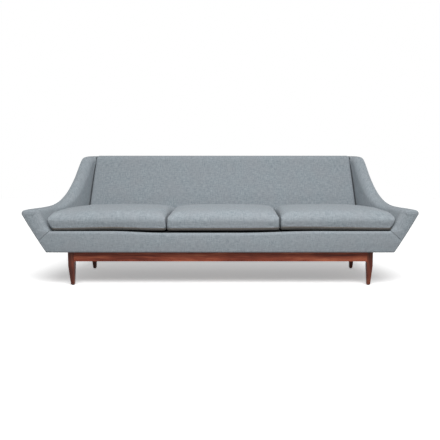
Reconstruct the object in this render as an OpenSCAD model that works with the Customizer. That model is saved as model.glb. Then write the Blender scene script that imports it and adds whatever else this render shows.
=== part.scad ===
// Gondola sofa: three loose cushions in one upholstered shell whose arms splay out at the front
// and sweep up into wings beside the back, on a low wooden stand with tapered legs.
// Millimetres. +X runs along the sofa, the front faces -Y, and z = 0 is the floor.

/* [Shell] */
// Width over the shell at its underside
foot_w = 2056; // [1900:2200]
// Width between the crests of the rolled edges at the front
crest_w = 2292; // [2240:2360]
// Width between the crests of the rolled edges at the wings
wing_crest_w = 1900; // [1860:1940]
// Depth from the front plane to the rear of the back's foot
foot_depth = 640; // [620:680]
// Height of the shell's underside above the floor
shell_z = 207; // [180:240]
// Height of the arms at the front
arm_z = 460; // [430:490]
// Height of the wings
wing_z = 777; // [740:800]

/* [Arms and wings] */
// How far back the edge begins to sweep up
sweep_start = 205; // [170:240]
// How far back the sweep would reach the height of the wing
sweep_end = 640; // [600:680]
// Softness of the corner between the sweep and the wing's top
wing_corner = 22; // [15:35]
// Depth at which the wing's crest width is measured
wing_depth = 680; // [660:700]
// Radius of the outer roll
roll_out_r = 18; // [14:22]
// Radius of the inner roll
roll_in_r = 34; // [28:38]
// Distance between the two rolls' centres at the front
roll_gap_front = 48; // [40:60]
// Distance between the two rolls' centres at the wing
roll_gap_wing = 20; // [14:30]
// Thickness of the shell's side at its underside, at the front
foot_t_front = 92; // [86:98]
// Thickness of the shell's side at its underside, at the wing
foot_t_wing = 98; // [92:104]
// Rounding of the front edges
nose_r = 13; // [8:13]
// Thickness of the boards inside the arms
board_t = 29; // [22:32]
// Thickness of the outside panels
panel_t = 5; // [3:6]
// Padding over the crest of the boards
crest_pad = 24; // [20:30]
// How far the padding wraps over the outside
wrap_h = 46; // [36:56]

/* [Front border and seat] */
// Thickness of the padded border
border_t = 34; // [28:40]
// Height of the border's inner top edge above the underside
border_h = 126; // [116:140]
// Height at which the mitre reaches the outer edge, above the underside
mitre_h = 66; // [58:76]
// Radius of the border's rolled top
border_r = 16; // [10:16]
// Height of the seat rails
rail_h = 91; // [80:96]
// Thickness of the seat rails
rail_t = 28; // [22:32]
// Width of one webbing strap
strap_w = 50; // [40:60]
// Thickness of one webbing strap
strap_t = 3; // [2:4]
// Webbing straps under the seat
strap_count = 14; // [8:16]

/* [Back] */
// Lean of the back from upright, in degrees
lean = 16; // [12:20]
// Thickness of the whole back
back_t = 98; // [90:110]
// Thickness of the padding on the back's inside
back_pad_t = 52; // [40:54]
// Height of the back above the floor
back_z = 780; // [750:795]
// Radius of the rolled top
back_roll_r = 40; // [30:44]
// How far the back's edge stays inside the foot of the shell, where it meets the cushions
back_low_inset = 88; // [82:98]
// How far the back's top corner stays inside the crest of the wing
back_top_inset = 55; // [46:62]

/* [Cushions] */
// Width of the middle cushion, gap to gap
middle_w = 664; // [600:720]
// How far the row of cushions lies to the right of the middle
cushion_shift = 12; // [0:16]
// Gap round each cushion
cushion_gap = 4; // [2:8]
// Height up to which a cushion's outer side leans out along the arm
cushion_lean_h = 62; // [50:76]
// Thickness of a cushion at the middle of its sides
cushion_edge_h = 112; // [98:124]
// How much lower the corners are
corner_drop = 16; // [6:24]
// Extra height of the crown
crown_h = 16; // [8:30]
// How far the lower front seam rises at its middle
seam_rise = 11; // [4:16]
// Rounding of the upper edge
cushion_top_r = 34; // [25:40]
// Rounding of the lower edge
cushion_low_r = 15; // [8:20]
// Set-back of the cushions from the front plane
cushion_set_back = 10; // [0:30]
// Thickness of the cover with its wrap
cover_t = 13; // [8:16]
// Thickness of the foam slab
core_h = 68; // [50:72]
// Length of the zip's closed part as a share of the rear edge
zip_len_share = 0.7; // [0.4:0.05:0.8]

/* [Stand] */
// How far the shell reaches past the legs at each end
stand_overhang = 117; // [108:178]
// Set-back of the front legs from the front plane
stand_set_back = 40; // [36:60]
// Set-back of the rear legs from the rear of the back's foot
stand_rear_set_back = 40; // [24:80]
// Leg width along the sofa, at the top
leg_w = 34; // [30:44]
// Leg depth, at the top
leg_d = 46; // [42:56]
// Leg width at the floor
leg_foot_w = 20; // [16:26]
// Leg depth at the floor
leg_foot_d = 23; // [18:30]
// Height of the stand's rails
stand_rail_h = 60; // [50:70]
// Thickness of the stand's rails
stand_rail_t = 24; // [20:26]
// Height at which the legs begin to taper
taper_z = 119; // [100:130]
// Length of the tenons
tenon_l = 18; // [12:20]
// Diameter of the floor glides
glide_d = 15; // [12:15]

/* [Hidden] */
// Clearance of a wooden joint
fit = 0.2;
// Clearance between soft pieces and what they touch
soft_fit = 0.4;
// Length by which a cut runs past what it cuts
over = 40;
// Smallest radius of a rolled edge after insetting
least_r = 4;
// Half of the span over which a slope is measured
slope_step = 2;
// Thickness of the black cloth under the seat
dust_t = 1;
// Thickness of the hessian cloth
hessian_t = 1.5;
// Fillet between a stand rail and its legs
rail_fillet = 9;
// Tenon thickness
tenon_t = 10;
// Shoulder above and below a tenon
tenon_shoulder = 9;
// Height of the glides and length and diameter of their pins
glide_h = 4;
glide_pin_l = 14;
glide_pin_d = 3;
// Leg of a corner block, its height and the screws through the inner blocks
block_leg = 62;
block_h = 34;
screw_d = 5;
screw_head_d = 10;
screw_head_h = 3;
screw_grip = 42;
screw_from_side = 22;
// Width of a post, of an inner post, and of the rails in the back
post_w = 55;
inner_post_w = 45;
back_rail_h = 60;
// Height of the arm's rails and length of its front post along the depth
arm_rail_h = 46;
arm_post_l = 55;
// Height and thickness of the zip
zip_h = 14;
zip_t = 2;
// Lower rounding of the border and rounding of the back's rear top edge
border_low_r = 8;
back_rear_r = 22;
// How the crest closes in: half straight, half by the square of the depth
straight_share = 0.5;
// Share of the sweep's length at which the arm's rails meet the wing board
arm_rail_share = 0.66;
// Share of the sweep's length at which it begins to steepen
steep_share = 0.42;
// Shares of a leg's narrowing taken by its outer side
leg_out_share = 0.7;
// Sharpness of the cushion's crown
crown_power = 2.4;
// Shares of the cushion's half size at which the crown is measured
crown_shares = [0.8, 0.6, 0.4, 0.2, 0.06];
// Rounding of a cushion's upright corners
corner_r = 26;

// Counts of steps: round an arc, up a face, round the nose, along the arm, the sweep and the wing
ROLL_STEPS = 5;
FACE_STEPS = 3;
NOSE_STEPS = 4;
ARM_STEPS = 5;
RISE_STEPS = 5;
STEEP_STEPS = 13;
WING_STEPS = 4;
// Counts of steps: up the outer back panel, and round a cushion's corner, edge and section
PANEL_STEPS = 8;
CORNER_STEPS = 3;
EDGE_STEPS = 7;
LEVEL_STEPS = 4;

// Top of the outer back panel, which is the rearmost edge
panel_top_z = wing_z - roll_out_r;
front_y = -(foot_depth + (panel_top_z - shell_z) * tan(lean)) / 2;
foot_x = foot_w / 2;
stand_w = foot_w - 2 * stand_overhang;
stand_depth = foot_depth - stand_set_back - stand_rear_set_back;
// Half width and half depth past every piece
reach = max(foot_w, crest_w, wing_crest_w) / 2 + over;
rail_z = shell_z + dust_t;
rail_top = shell_z + rail_h;
strap_z = rail_top;
hessian_z = strap_z + strap_t;
deck_z = hessian_z + hessian_t;
deck_top = shell_z + border_h;
deck_t = deck_top - deck_z;
cushion_z = deck_top + soft_fit;
layer_out = panel_t + soft_fit;
layer_in = layer_out + board_t;
rail_front_d = border_t + soft_fit;
seat_rear_d = foot_depth - back_t / cos(lean) - soft_fit;
outer_rail_x = stand_w / 2 - leg_w - rail_t;

// Grey-blue wool, dark wood, pale frame wood, foam, hessian and steel
WOOL = [0.57, 0.62, 0.66];
DARK_WOOD = [0.36, 0.18, 0.13];
BEECH = [0.85, 0.72, 0.52];
FOAM = [0.93, 0.89, 0.72];
HESSIAN = [0.66, 0.56, 0.38];
BLACK_CLOTH = [0.12, 0.12, 0.13];
STEEL = [0.72, 0.72, 0.74];
NYLON = [0.16, 0.15, 0.14];

$fn = 48;

// The rolled edge: d is the depth behind the front plane

function crest_share(d) = straight_share * d / wing_depth + (1 - straight_share) * pow(d / wing_depth, 2);
function crest_x(d) = crest_w / 2 - (crest_w - wing_crest_w) / 2 * crest_share(d);

function soft_least(a, b, k) = (a + b - sqrt(pow(a - b, 2) + 4 * k * k)) / 2;
function sweep_rise(d) = (wing_z - arm_z) * pow(max(0, d - sweep_start) / (sweep_end - sweep_start), 3);
function crest_z(d) = arm_z + soft_least(sweep_rise(d), wing_z - arm_z, wing_corner);
function crest_slope(d) = (crest_z(d + slope_step) - crest_z(d - slope_step)) / (2 * slope_step);
// Squash that keeps the roll round when it is measured square to a sloping crest
function squash(d) = 1 / sqrt(1 + pow(crest_slope(d), 2));

function depth_share(d) = min(1, d / wing_depth);
function roll_gap(d) = roll_gap_front + (roll_gap_wing - roll_gap_front) * depth_share(d);
function foot_in_x(d) = foot_x - foot_t_front - (foot_t_wing - foot_t_front) * depth_share(d);

// Centres of the two rolls and the angles of the faces that touch them, in the squashed section
function out_roll(d) = [crest_x(d), (crest_z(d) - shell_z) * squash(d) - roll_out_r];
function in_roll(d) = [crest_x(d) - roll_gap(d), (crest_z(d) - shell_z) * squash(d) - roll_in_r];
function face_angle(foot, roll, r) = atan2(roll.y, roll.x - foot) - asin(r / norm([roll.x - foot, roll.y]));
function out_angle(d) = face_angle(foot_x, out_roll(d), roll_out_r);
function in_angle(d) = face_angle(foot_in_x(d), in_roll(d), -roll_in_r);

// Where the outer and inner faces are at a depth and a height
function face_out(d, z) = foot_x + (z - shell_z) * squash(d) / tan(out_angle(d));
function face_in(d, z) = foot_in_x(d) + (z - shell_z) * squash(d) / tan(in_angle(d));

function between(a, b, steps) = [for (k = [0:steps - 1]) a + (b - a) * k / steps];
function arc(centre, r, from, to) =
    [for (k = [0:ROLL_STEPS]) let (t = from + (to - from) * k / ROLL_STEPS) centre + r * [cos(t), sin(t)]];

// One section across the shell's side, drawn in by an inset, as points at a depth
function side_ring(d, inset) =
    let (
        out_a = out_angle(d),
        in_a = in_angle(d),
        out_r = max(roll_out_r - inset, least_r),
        in_r = max(roll_in_r - inset, least_r),
        foot_out = [foot_x - inset / sin(out_a), 0],
        foot_in = [foot_in_x(d) + inset / sin(in_a), 0],
        out_arc = arc(out_roll(d), out_r, out_a - 90, 90),
        in_arc = arc(in_roll(d), in_r, 90, in_a + 90),
        outline = concat(
            between(foot_out, out_arc[0], FACE_STEPS),
            out_arc,
            in_arc,
            [for (k = [1:FACE_STEPS]) in_arc[ROLL_STEPS] + (foot_in - in_arc[ROLL_STEPS]) * k / FACE_STEPS]
        )
    )
    [for (p = outline) [p.x, front_y + d, shell_z + p.y / squash(d)]];

// Depths of the sections: round the nose, along the arm, up the sweep and over the wing
function nose_ring(k) =
    let (t = 90 * k / NOSE_STEPS) side_ring(nose_r * (1 - cos(t)), nose_r * (1 - sin(t)));
function spread(from, to, steps) = [for (k = [1:steps]) from + (to - from) * k / steps];
sweep_mid = sweep_start + (sweep_end - sweep_start) * steep_share;
shell_end_d = rear_d(wing_z) + over;
SIDE_DEPTHS = concat(
    spread(nose_r, sweep_start, ARM_STEPS),
    spread(sweep_start, sweep_mid, RISE_STEPS),
    spread(sweep_mid, sweep_end, STEEP_STEPS),
    spread(sweep_end, wing_depth, WING_STEPS),
    [shell_end_d]
);
SIDE_RINGS = concat(
    [for (k = [0:NOSE_STEPS]) nose_ring(k)],
    [for (d = SIDE_DEPTHS) side_ring(d, 0)]
);

function mean(ring) = [for (p = ring) 1] * ring / len(ring);

// A solid through closed rings of equal count, with a fan across its first and last ring. Each quad is
// split along its shorter diagonal, so that faces a constant distance apart stay parallel.
module loft(rings) {
    n = len(rings[0]);
    last = (len(rings) - 1) * n;
    mid = last + n;
    sides = [
        for (i = [0:len(rings) - 2], j = [0:n - 1])
            let (
                k = (j + 1) % n,
                a = i * n + j,
                b = i * n + k,
                rising = norm(rings[i][k] - rings[i + 1][j]) < norm(rings[i][j] - rings[i + 1][k])
            )
            each rising ? [[a, b, a + n], [b, b + n, a + n]] : [[a, b, b + n], [a, b + n, a + n]]
    ];
    fans = [for (j = [0:n - 1]) let (k = (j + 1) % n) each [[mid, k, j], [mid + 1, last + j, last + k]]];
    points = concat([for (ring = rings) each ring], [mean(rings[0]), mean(rings[len(rings) - 1])]);
    polyhedron(points, concat(fans, sides), convexity = 6);
}

// A slab that follows the outer face, from one distance inside it to another
SLAB_DEPTHS = concat([-over, nose_r], SIDE_DEPTHS, [shell_end_d + over]);
module side_slab(near, far) {
    low = shell_z - over;
    loft([
        for (d = SLAB_DEPTHS)
            [
                for (p = [[near, low], [near, crest_z(d)], [far, crest_z(d)], [far, low]])
                    [face_out(max(0, d), p.y) - p.x, front_y + d, p.y]
            ]
    ]);
}

function stations(from, to) = concat([from], [for (d = SLAB_DEPTHS) if (d > from && d < to) d], [to]);

// Side view of what lies between two depths, over a height and a distance below the crest
function below_crest(d, drop) = crest_z(d) - drop / squash(d);
module side_outline(from, to, low, drop) {
    polygon(concat(
        [[front_y + to, low], [front_y + from, low]],
        [for (d = stations(from, to)) [front_y + d, below_crest(d, drop)]]
    ));
}

module side_layer(near, far, from, to, low, drop) {
    intersection() {
        side_slab(near, far);
        along_x(reach)
            side_outline(from, to, low, drop);
    }
}

// The leaning back: u runs rearward square to the back, v up along it, from the foot of its inside face

back_foot_d = foot_depth - back_t / cos(lean);
back_len = back_roll_r + (back_z - shell_z - back_roll_r * (1 - sin(lean))) / cos(lean);
// Depth of the back's outside at a height
function rear_d(z) = foot_depth + (z - shell_z) * tan(lean);

module lean_frame() {
    translate([0, front_y + back_foot_d, shell_z])
        rotate([-lean, 0, 0])
            children();
}

// The same frame in a side view
module lean_plan() {
    translate([front_y + back_foot_d, shell_z])
        rotate(-lean)
            children();
}

// Extrudes a profile drawn as (depth, height) along X
module along_x(half) {
    rotate([90, 0, 90])
        translate([0, 0, -half])
            linear_extrude(2 * half)
                children();
}

// Extrudes an outline drawn as (x, height) along the depth
module along_depth(from, to) {
    translate([0, front_y + to, 0])
        rotate([90, 0, 0])
            linear_extrude(to - from)
                children();
}

// An outline from its right half
function both_sides(right) = concat(right, [for (k = [len(right) - 1:-1:0]) [-right[k].x, right[k].y]]);

module mirrored() {
    mirror([1, 0, 0])
        children();
}

// Everything behind the inside of the outer back panel
module behind_back(gap) {
    lean_frame()
        translate([-reach, back_t - panel_t - gap, -2 * back_len])
            cube([2 * reach, 2 * back_len, 4 * back_len]);
}

back_half_low = foot_x - back_low_inset;
back_half_top = wing_crest_w / 2 - back_top_inset;
function back_half(z) =
    back_half_low + (back_half_top - back_half_low) * (z - cushion_z) / (back_z - cushion_z);

module back_outline(grow) {
    low = shell_z - over;
    high = back_z + over;
    polygon([
        [-back_half(low) - grow, low],
        [back_half(low) + grow, low],
        [back_half(high) + grow, high],
        [-back_half(high) - grow, high]
    ]);
}

// Stand

leg_front_d = stand_set_back;
leg_rear_d = stand_set_back + stand_depth;

module leg_blank() {
    side = leg_w - leg_foot_w;
    intersection() {
        along_depth(-over, leg_d + over)
            polygon([
                [0, taper_z],
                [side * (1 - leg_out_share), glide_h],
                [leg_w - side * leg_out_share, glide_h],
                [leg_w, taper_z],
                [leg_w, shell_z],
                [0, shell_z]
            ]);
        rotate([90, 0, 90])
            linear_extrude(leg_w)
                translate([front_y, 0])
                    polygon([
                        [0, taper_z],
                        [(leg_d - leg_foot_d) / 2, glide_h],
                        [(leg_d + leg_foot_d) / 2, glide_h],
                        [leg_d, taper_z],
                        [leg_d, shell_z],
                        [0, shell_z]
                    ]);
    }
}

tenon_h = stand_rail_h - 2 * tenon_shoulder;
tenon_z = shell_z - stand_rail_h + tenon_shoulder;
rail_in_leg = (leg_w - stand_rail_t) / 2;
front_tenon_d = tenon_shoulder;
glide_pin_hole = glide_pin_d + 2 * fit;
// Middle of the leg's foot, from its inner face
foot_mid = (leg_w - leg_foot_w) * (1 - leg_out_share) + leg_foot_w / 2;

// The front right leg, with its inner face on x = stand_w / 2 - leg_w
module leg() {
    inner_x = stand_w / 2 - leg_w;
    color(DARK_WOOD)
        difference() {
            translate([inner_x, leg_front_d, 0])
                leg_blank();
            translate([inner_x - over, front_y + leg_front_d + front_tenon_d - fit, tenon_z - fit])
                cube([over + tenon_l + fit, tenon_t + 2 * fit, tenon_h + 2 * fit]);
            translate([
                inner_x + leg_w / 2 - tenon_t / 2 - fit,
                front_y + leg_front_d + leg_d - tenon_l - fit,
                tenon_z - fit
            ])
                cube([tenon_t + 2 * fit, tenon_l + over, tenon_h + 2 * fit]);
            translate([inner_x + foot_mid, front_y + leg_front_d + leg_d / 2, glide_h - over])
                cylinder(d = glide_pin_hole, h = over + glide_pin_l);
        }
}

// Turns the front right corner of the stand into each of the other three
module at_corner(left, rear) {
    mid_y = front_y + (leg_front_d + leg_rear_d) / 2;
    mirror([left ? 1 : 0, 0, 0])
        translate([0, mid_y, 0])
            mirror([0, rear ? 1 : 0, 0])
                translate([0, -mid_y, 0])
                    children();
}

module leg_front_left() at_corner(true, false) leg();
module leg_front_right() at_corner(false, false) leg();
module leg_rear_left() at_corner(true, true) leg();
module leg_rear_right() at_corner(false, true) leg();

// A rail with a tenon at each end, filleted down into the legs, lying along X about its middle
module tenon_rail(clear_l, tenon_y) {
    difference() {
        translate([-clear_l / 2, 0, shell_z - stand_rail_h - rail_fillet])
            cube([clear_l, stand_rail_t, stand_rail_h + rail_fillet]);
        translate([-clear_l / 2 + rail_fillet, -over, shell_z - stand_rail_h - rail_fillet])
            rotate([-90, 0, 0])
                cylinder(r = rail_fillet, h = stand_rail_t + 2 * over);
        translate([clear_l / 2 - rail_fillet, -over, shell_z - stand_rail_h - rail_fillet])
            rotate([-90, 0, 0])
                cylinder(r = rail_fillet, h = stand_rail_t + 2 * over);
        translate([-clear_l / 2 + rail_fillet, -over, shell_z - stand_rail_h - rail_fillet - over])
            cube([clear_l - 2 * rail_fillet, stand_rail_t + 2 * over, rail_fillet + over]);
    }
    for (side = [-1, 1])
        translate([side * clear_l / 2 - (side < 0 ? tenon_l : 0), tenon_y, tenon_z])
            cube([tenon_l, tenon_t, tenon_h]);
}

module stand_rail_front() {
    color(DARK_WOOD)
        translate([0, front_y + leg_front_d + (tenon_shoulder + tenon_t / 2 - stand_rail_t / 2), 0])
            tenon_rail(stand_w - 2 * leg_w, (stand_rail_t - tenon_t) / 2);
}

module stand_rail_rear() at_corner(false, true) stand_rail_front();

module stand_rail_right() {
    color(DARK_WOOD)
        translate([
            stand_w / 2 - leg_w / 2 + stand_rail_t / 2,
            front_y + (leg_front_d + leg_rear_d) / 2,
            0
        ])
            rotate([0, 0, 90])
                tenon_rail(stand_depth - 2 * leg_d, (stand_rail_t - tenon_t) / 2);
}

module stand_rail_left() mirrored() stand_rail_right();

rail_inner_d = leg_front_d + tenon_shoulder + tenon_t / 2 + stand_rail_t / 2;

// A rail between the middles of the front and rear rails
module stand_cross_rail() {
    color(BEECH)
        translate([-stand_rail_t / 2, front_y + rail_inner_d, shell_z - stand_rail_h])
            cube([stand_rail_t, leg_rear_d + leg_front_d - 2 * rail_inner_d, stand_rail_h]);
}

block_x = stand_w / 2 - leg_w / 2 - stand_rail_t / 2;
screw_x = outer_rail_x + rail_t / 2;
screw_d_at = rail_inner_d + screw_from_side;

module stand_corner_blocks() {
    corner = leg_d - (rail_inner_d - leg_front_d);
    color(BEECH)
        for (left = [false, true], rear = [false, true])
            at_corner(left, rear)
                difference() {
                    translate([0, front_y, shell_z - block_h])
                        linear_extrude(block_h)
                            polygon([
                                [block_x - block_leg - corner, rail_inner_d],
                                [stand_w / 2 - leg_w, rail_inner_d],
                                [stand_w / 2 - leg_w, leg_front_d + leg_d],
                                [block_x, leg_front_d + leg_d],
                                [block_x, rail_inner_d + block_leg + corner]
                            ]);
                    translate([screw_x, front_y + screw_d_at, shell_z - block_h - over])
                        cylinder(d = screw_d + 2 * fit, h = block_h + 2 * over);
                }
}

// The hole in the shell's frame that takes the front right screw
module screw_bore() {
    translate([screw_x, front_y + screw_d_at, rail_z - over])
        cylinder(d = screw_d + 2 * fit, h = over + screw_grip);
}

module stand_screws() {
    color(STEEL)
        for (left = [false, true], rear = [false, true])
            at_corner(left, rear)
                translate([screw_x, front_y + screw_d_at, shell_z - block_h]) {
                    cylinder(d = screw_d, h = block_h + screw_grip);
                    translate([0, 0, -screw_head_h])
                        cylinder(d = screw_head_d, h = screw_head_h);
                }
}

module floor_glides() {
    color(NYLON)
        for (left = [false, true], rear = [false, true])
            at_corner(left, rear)
                translate([stand_w / 2 - leg_w + foot_mid, front_y + leg_front_d + leg_d / 2, 0]) {
                    cylinder(d = glide_d, h = glide_h);
                    cylinder(d = glide_pin_d, h = glide_h + glide_pin_l - fit);
                }
}

// Seat frame

module seat_rail_front() {
    color(BEECH)
        translate([-inner_rail_x, front_y + rail_front_d, rail_z])
            cube([2 * inner_rail_x, rail_t, rail_top - rail_z]);
}

// Inner face of the side rails, upright and straight
inner_rail_x = foot_x - layer_in - rail_t;
rear_rail_d = seat_rear_d - rail_t;

module seat_rail_rear() {
    color(BEECH)
        translate([-inner_rail_x, front_y + rear_rail_d, rail_z])
            cube([2 * inner_rail_x, rail_t, rail_top - rail_z]);
}

// The side rail is upright inside and canted outside, where the arm's foot rail lies against it
module seat_rail_right() {
    color(BEECH)
        difference() {
            translate([inner_rail_x, front_y + rail_front_d, rail_z])
                cube([reach - inner_rail_x, seat_rear_d - rail_front_d, rail_top - rail_z]);
            side_slab(-reach, layer_in + fit);
        }
}

module seat_rail_left() mirrored() seat_rail_right();

// One cross rail under each gap between cushions and one over each side of the stand
module seat_cross_rails() {
    color(BEECH)
        for (side = [-1, 1], x = [middle_w / 2, screw_x])
            difference() {
                translate([side * x - rail_t / 2, front_y + rail_front_d + rail_t, rail_z])
                    cube([rail_t, rear_rail_d - rail_front_d - rail_t, rail_top - rail_z - strap_t]);
                at_corner(side < 0, false)
                    screw_bore();
            }
}

module seat_corner_blocks() {
    color(BEECH)
        for (side = [-1, 1], rear = [0, 1])
            mirror([side < 0 ? 1 : 0, 0, 0])
                translate([
                    inner_rail_x,
                    front_y + (rear ? rear_rail_d : rail_front_d + rail_t),
                    rail_top - strap_t - block_h
                ])
                    mirror([0, rear, 0])
                        linear_extrude(block_h)
                            polygon([[0, 0], [-block_leg, 0], [0, block_leg]]);
}

module seat_webbing() {
    pitch = 2 * inner_rail_x / strap_count;
    color(HESSIAN)
        for (k = [0:strap_count - 1])
            translate([
                -inner_rail_x + pitch * k + (pitch - strap_w) / 2,
                front_y + rail_front_d,
                strap_z
            ])
                cube([strap_w, seat_rear_d - rail_front_d, strap_t]);
}

// A flat piece that lies between the arms at a height
module seat_sheet(z, t, gap) {
    rear = rear_d(z) - back_t / cos(lean) - gap;
    right = [for (d = stations(rail_front_d, rear)) [face_in(d, z) - gap, front_y + d]];
    translate([0, 0, z])
        linear_extrude(t)
            polygon(both_sides(right));
}

module seat_hessian() color(HESSIAN) seat_sheet(hessian_z, hessian_t, soft_fit + panel_t);

module seat_deck_pad() color(WOOL) seat_sheet(deck_z, deck_t, soft_fit + panel_t);

// The cloth under the frame stops short of the outer panels
module dust_cover() {
    half = foot_x - panel_t - 3 * soft_fit;
    color(BLACK_CLOTH)
        difference() {
            translate([-half, front_y + rail_front_d, shell_z])
                cube([2 * half, foot_depth - layer_out / cos(lean) - rail_front_d, dust_t]);
            for (left = [false, true], rear = [false, true])
                at_corner(left, rear)
                    translate([screw_x, front_y + screw_d_at, shell_z - over])
                        cylinder(d = screw_d + 2 * fit, h = 2 * over);
        }
}

// Outline of the border seen from the front: it keeps the shell's lower corners under the mitres
module border_outline(grow) {
    low = shell_z;
    top = shell_z + border_h + grow;
    mitre = shell_z + mitre_h;
    right = [
        [foot_x, low - grow],
        [face_out(0, mitre), mitre],
        [face_in(0, top), top]
    ];
    polygon(both_sides(right));
}

module border_profile() {
    h = border_h;
    translate([front_y, shell_z])
        union() {
            translate([border_low_r, 0])
                square([border_t - border_low_r, h - border_r]);
            translate([0, border_low_r])
                square([border_t, h - border_r - border_low_r]);
            translate([border_low_r, border_low_r])
                circle(border_low_r);
            translate([border_r, h - border_r])
                circle(border_r);
            translate([border_r, h - 2 * border_r])
                square([border_t - border_r, 2 * border_r]);
        }
}

module front_border_pad() {
    color(WOOL)
        intersection() {
            along_x(reach)
                border_profile();
            along_depth(-over, border_t + over)
                border_outline(0);
        }
}

// Back

// Profile of the padding: square to the lean, with a rolled top and a softer rear edge
module back_profile() {
    rear_u = back_t - panel_t - soft_fit;
    shoulder = back_len - back_roll_r;
    union() {
        square([rear_u, shoulder]);
        translate([back_roll_r, shoulder])
            circle(back_roll_r);
        translate([rear_u - back_rear_r, back_len - back_rear_r])
            circle(back_rear_r);
        translate([back_roll_r, shoulder - over])
            square([rear_u - back_roll_r - back_rear_r, back_roll_r + over]);
        translate([back_roll_r, shoulder - over])
            square([rear_u - back_roll_r, back_roll_r - back_rear_r + over]);
    }
}

module back_pad() {
    frame_top = back_len - crest_pad;
    color(WOOL)
        difference() {
            intersection() {
                lean_frame()
                    along_x(reach)
                        back_profile();
                along_depth(-over, foot_depth + reach)
                    back_outline(0);
            }
            lean_frame()
                translate([-reach, back_pad_t, -over])
                    cube([2 * reach, back_t, over + frame_top]);
            translate([-reach, front_y - over, shell_z - over])
                cube([2 * reach, over + seat_rear_d + back_t, over + rail_top - shell_z + soft_fit]);
            for (side = [0, 1])
                mirror([side, 0, 0])
                    side_slab(-reach, layer_in + soft_fit);
        }
}

// Frame timber lies between the hessian and the outer panel
frame_u = back_pad_t + hessian_t + soft_fit;
frame_t = back_t - panel_t - 2 * soft_fit - back_pad_t - hessian_t;
frame_len = back_len - crest_pad - soft_fit;

// Side view of a post: a leaning board, with a block at its foot that meets the rear seat rail
module post_profile() {
    difference() {
        union() {
            lean_plan()
                translate([frame_u, -over])
                    square([frame_t, over + frame_len]);
            intersection() {
                translate([front_y + seat_rear_d, rail_z])
                    square([back_t, rail_top - rail_z]);
                lean_plan()
                    translate([-back_t, -back_t])
                        square([back_t + frame_u + frame_t / 2, back_len]);
            }
        }
        translate([front_y + foot_depth - 2 * back_t, rail_z - 2 * over])
            square([4 * back_t, 2 * over]);
    }
}

module post(from, to) {
    translate([(from + to) / 2, 0, 0])
        along_x((to - from) / 2)
            post_profile();
}

post_inner_x = back_half_top - post_w;

// A board up the end of the back: upright inside, and against the wing board outside
module back_post_right() {
    color(BEECH)
        difference() {
            post(post_inner_x, reach);
            side_slab(-reach, layer_in + fit);
            at_corner(false, true)
                screw_bore();
        }
}

module back_post_left() mirrored() back_post_right();

module back_inner_posts() {
    color(BEECH)
        for (side = [-1, 1])
            post(side * middle_w / 2 - inner_post_w / 2, side * middle_w / 2 + inner_post_w / 2);
}

module back_rail(v) {
    spans = [
        [-post_inner_x, -middle_w / 2 - inner_post_w / 2],
        [-middle_w / 2 + inner_post_w / 2, middle_w / 2 - inner_post_w / 2],
        [middle_w / 2 + inner_post_w / 2, post_inner_x]
    ];
    for (s = spans)
        lean_frame()
            translate([s[0] + fit, frame_u, v])
                cube([s[1] - s[0] - 2 * fit, frame_t, back_rail_h]);
}

module back_top_rail() color(BEECH) back_rail(frame_len - back_rail_h);

low_rail_v = rail_h + back_rail_h;

module back_low_rail() color(BEECH) back_rail(low_rail_v);

module back_hessian() {
    color(HESSIAN)
        intersection() {
            lean_frame()
                translate([-reach, back_pad_t + soft_fit / 2, low_rail_v])
                    cube([2 * reach, hessian_t, frame_len - low_rail_v]);
            along_depth(-over, foot_depth + reach)
                back_outline(-soft_fit);
        }
}

// The outer panel closes the back and the rear of both wings
module back_outer_panel() {
    right = [
        for (k = [0:PANEL_STEPS])
            let (z = shell_z + (panel_top_z - shell_z) * k / PANEL_STEPS)
            [face_out(rear_d(z), z), z]
    ];
    color(WOOL)
        intersection() {
            lean_frame()
                translate([-reach, back_t - panel_t, -reach])
                    cube([2 * reach, panel_t, 2 * reach]);
            along_depth(0, foot_depth + reach)
                polygon(both_sides(right));
        }
}

// Arms and wings

// A board in the side's frame: it keeps clear of the padding and of the outer back panel
module side_board(from, to, low, drop) {
    difference() {
        side_layer(layer_out + fit, layer_in - fit, from, to, low, drop);
        behind_back(soft_fit);
    }
}

board_drop = crest_pad + soft_fit;
arm_post_end = rail_front_d + arm_post_l;
arm_rail_end = sweep_start + (sweep_end - sweep_start) * arm_rail_share;

module arm_post_right() color(BEECH) side_board(rail_front_d, arm_post_end, rail_z, board_drop);

module arm_post_left() mirrored() arm_post_right();

module arm_top_rail_right() {
    color(BEECH)
        difference() {
            side_board(arm_post_end, arm_rail_end, rail_z, board_drop);
            along_x(reach)
                side_outline(0, shell_end_d, 0, board_drop + arm_rail_h);
        }
}

module arm_top_rail_left() mirrored() arm_top_rail_right();

module arm_foot_rail_right() {
    color(BEECH)
        intersection() {
            side_board(arm_post_end, arm_rail_end, rail_z, board_drop);
            translate([0, -reach, rail_z])
                cube([reach, 2 * reach, rail_top - rail_z]);
        }
}

module arm_foot_rail_left() mirrored() arm_foot_rail_right();

module wing_board_right() color(BEECH) side_board(arm_rail_end, shell_end_d, rail_z, board_drop);

module wing_board_left() mirrored() wing_board_right();

module arm_pad_right() {
    color(WOOL)
        difference() {
            loft(SIDE_RINGS);
            side_layer(layer_out, layer_in, rail_front_d - soft_fit, shell_end_d, shell_z - over, crest_pad);
            side_layer(-over, layer_out + fit, rail_front_d + soft_fit, shell_end_d, shell_z - over, wrap_h);
            along_depth(-over, border_t + soft_fit)
                border_outline(soft_fit);
            translate([0, front_y + border_t, shell_z - over])
                cube([reach, reach, over + rail_top + soft_fit - shell_z]);
            behind_back(0);
            back_slot();
            difference() {
                lean_frame()
                    translate([0, back_pad_t, -over])
                        cube([reach, back_t, over + frame_len + soft_fit]);
                side_slab(-reach, layer_in);
            }
        }
}

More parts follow.
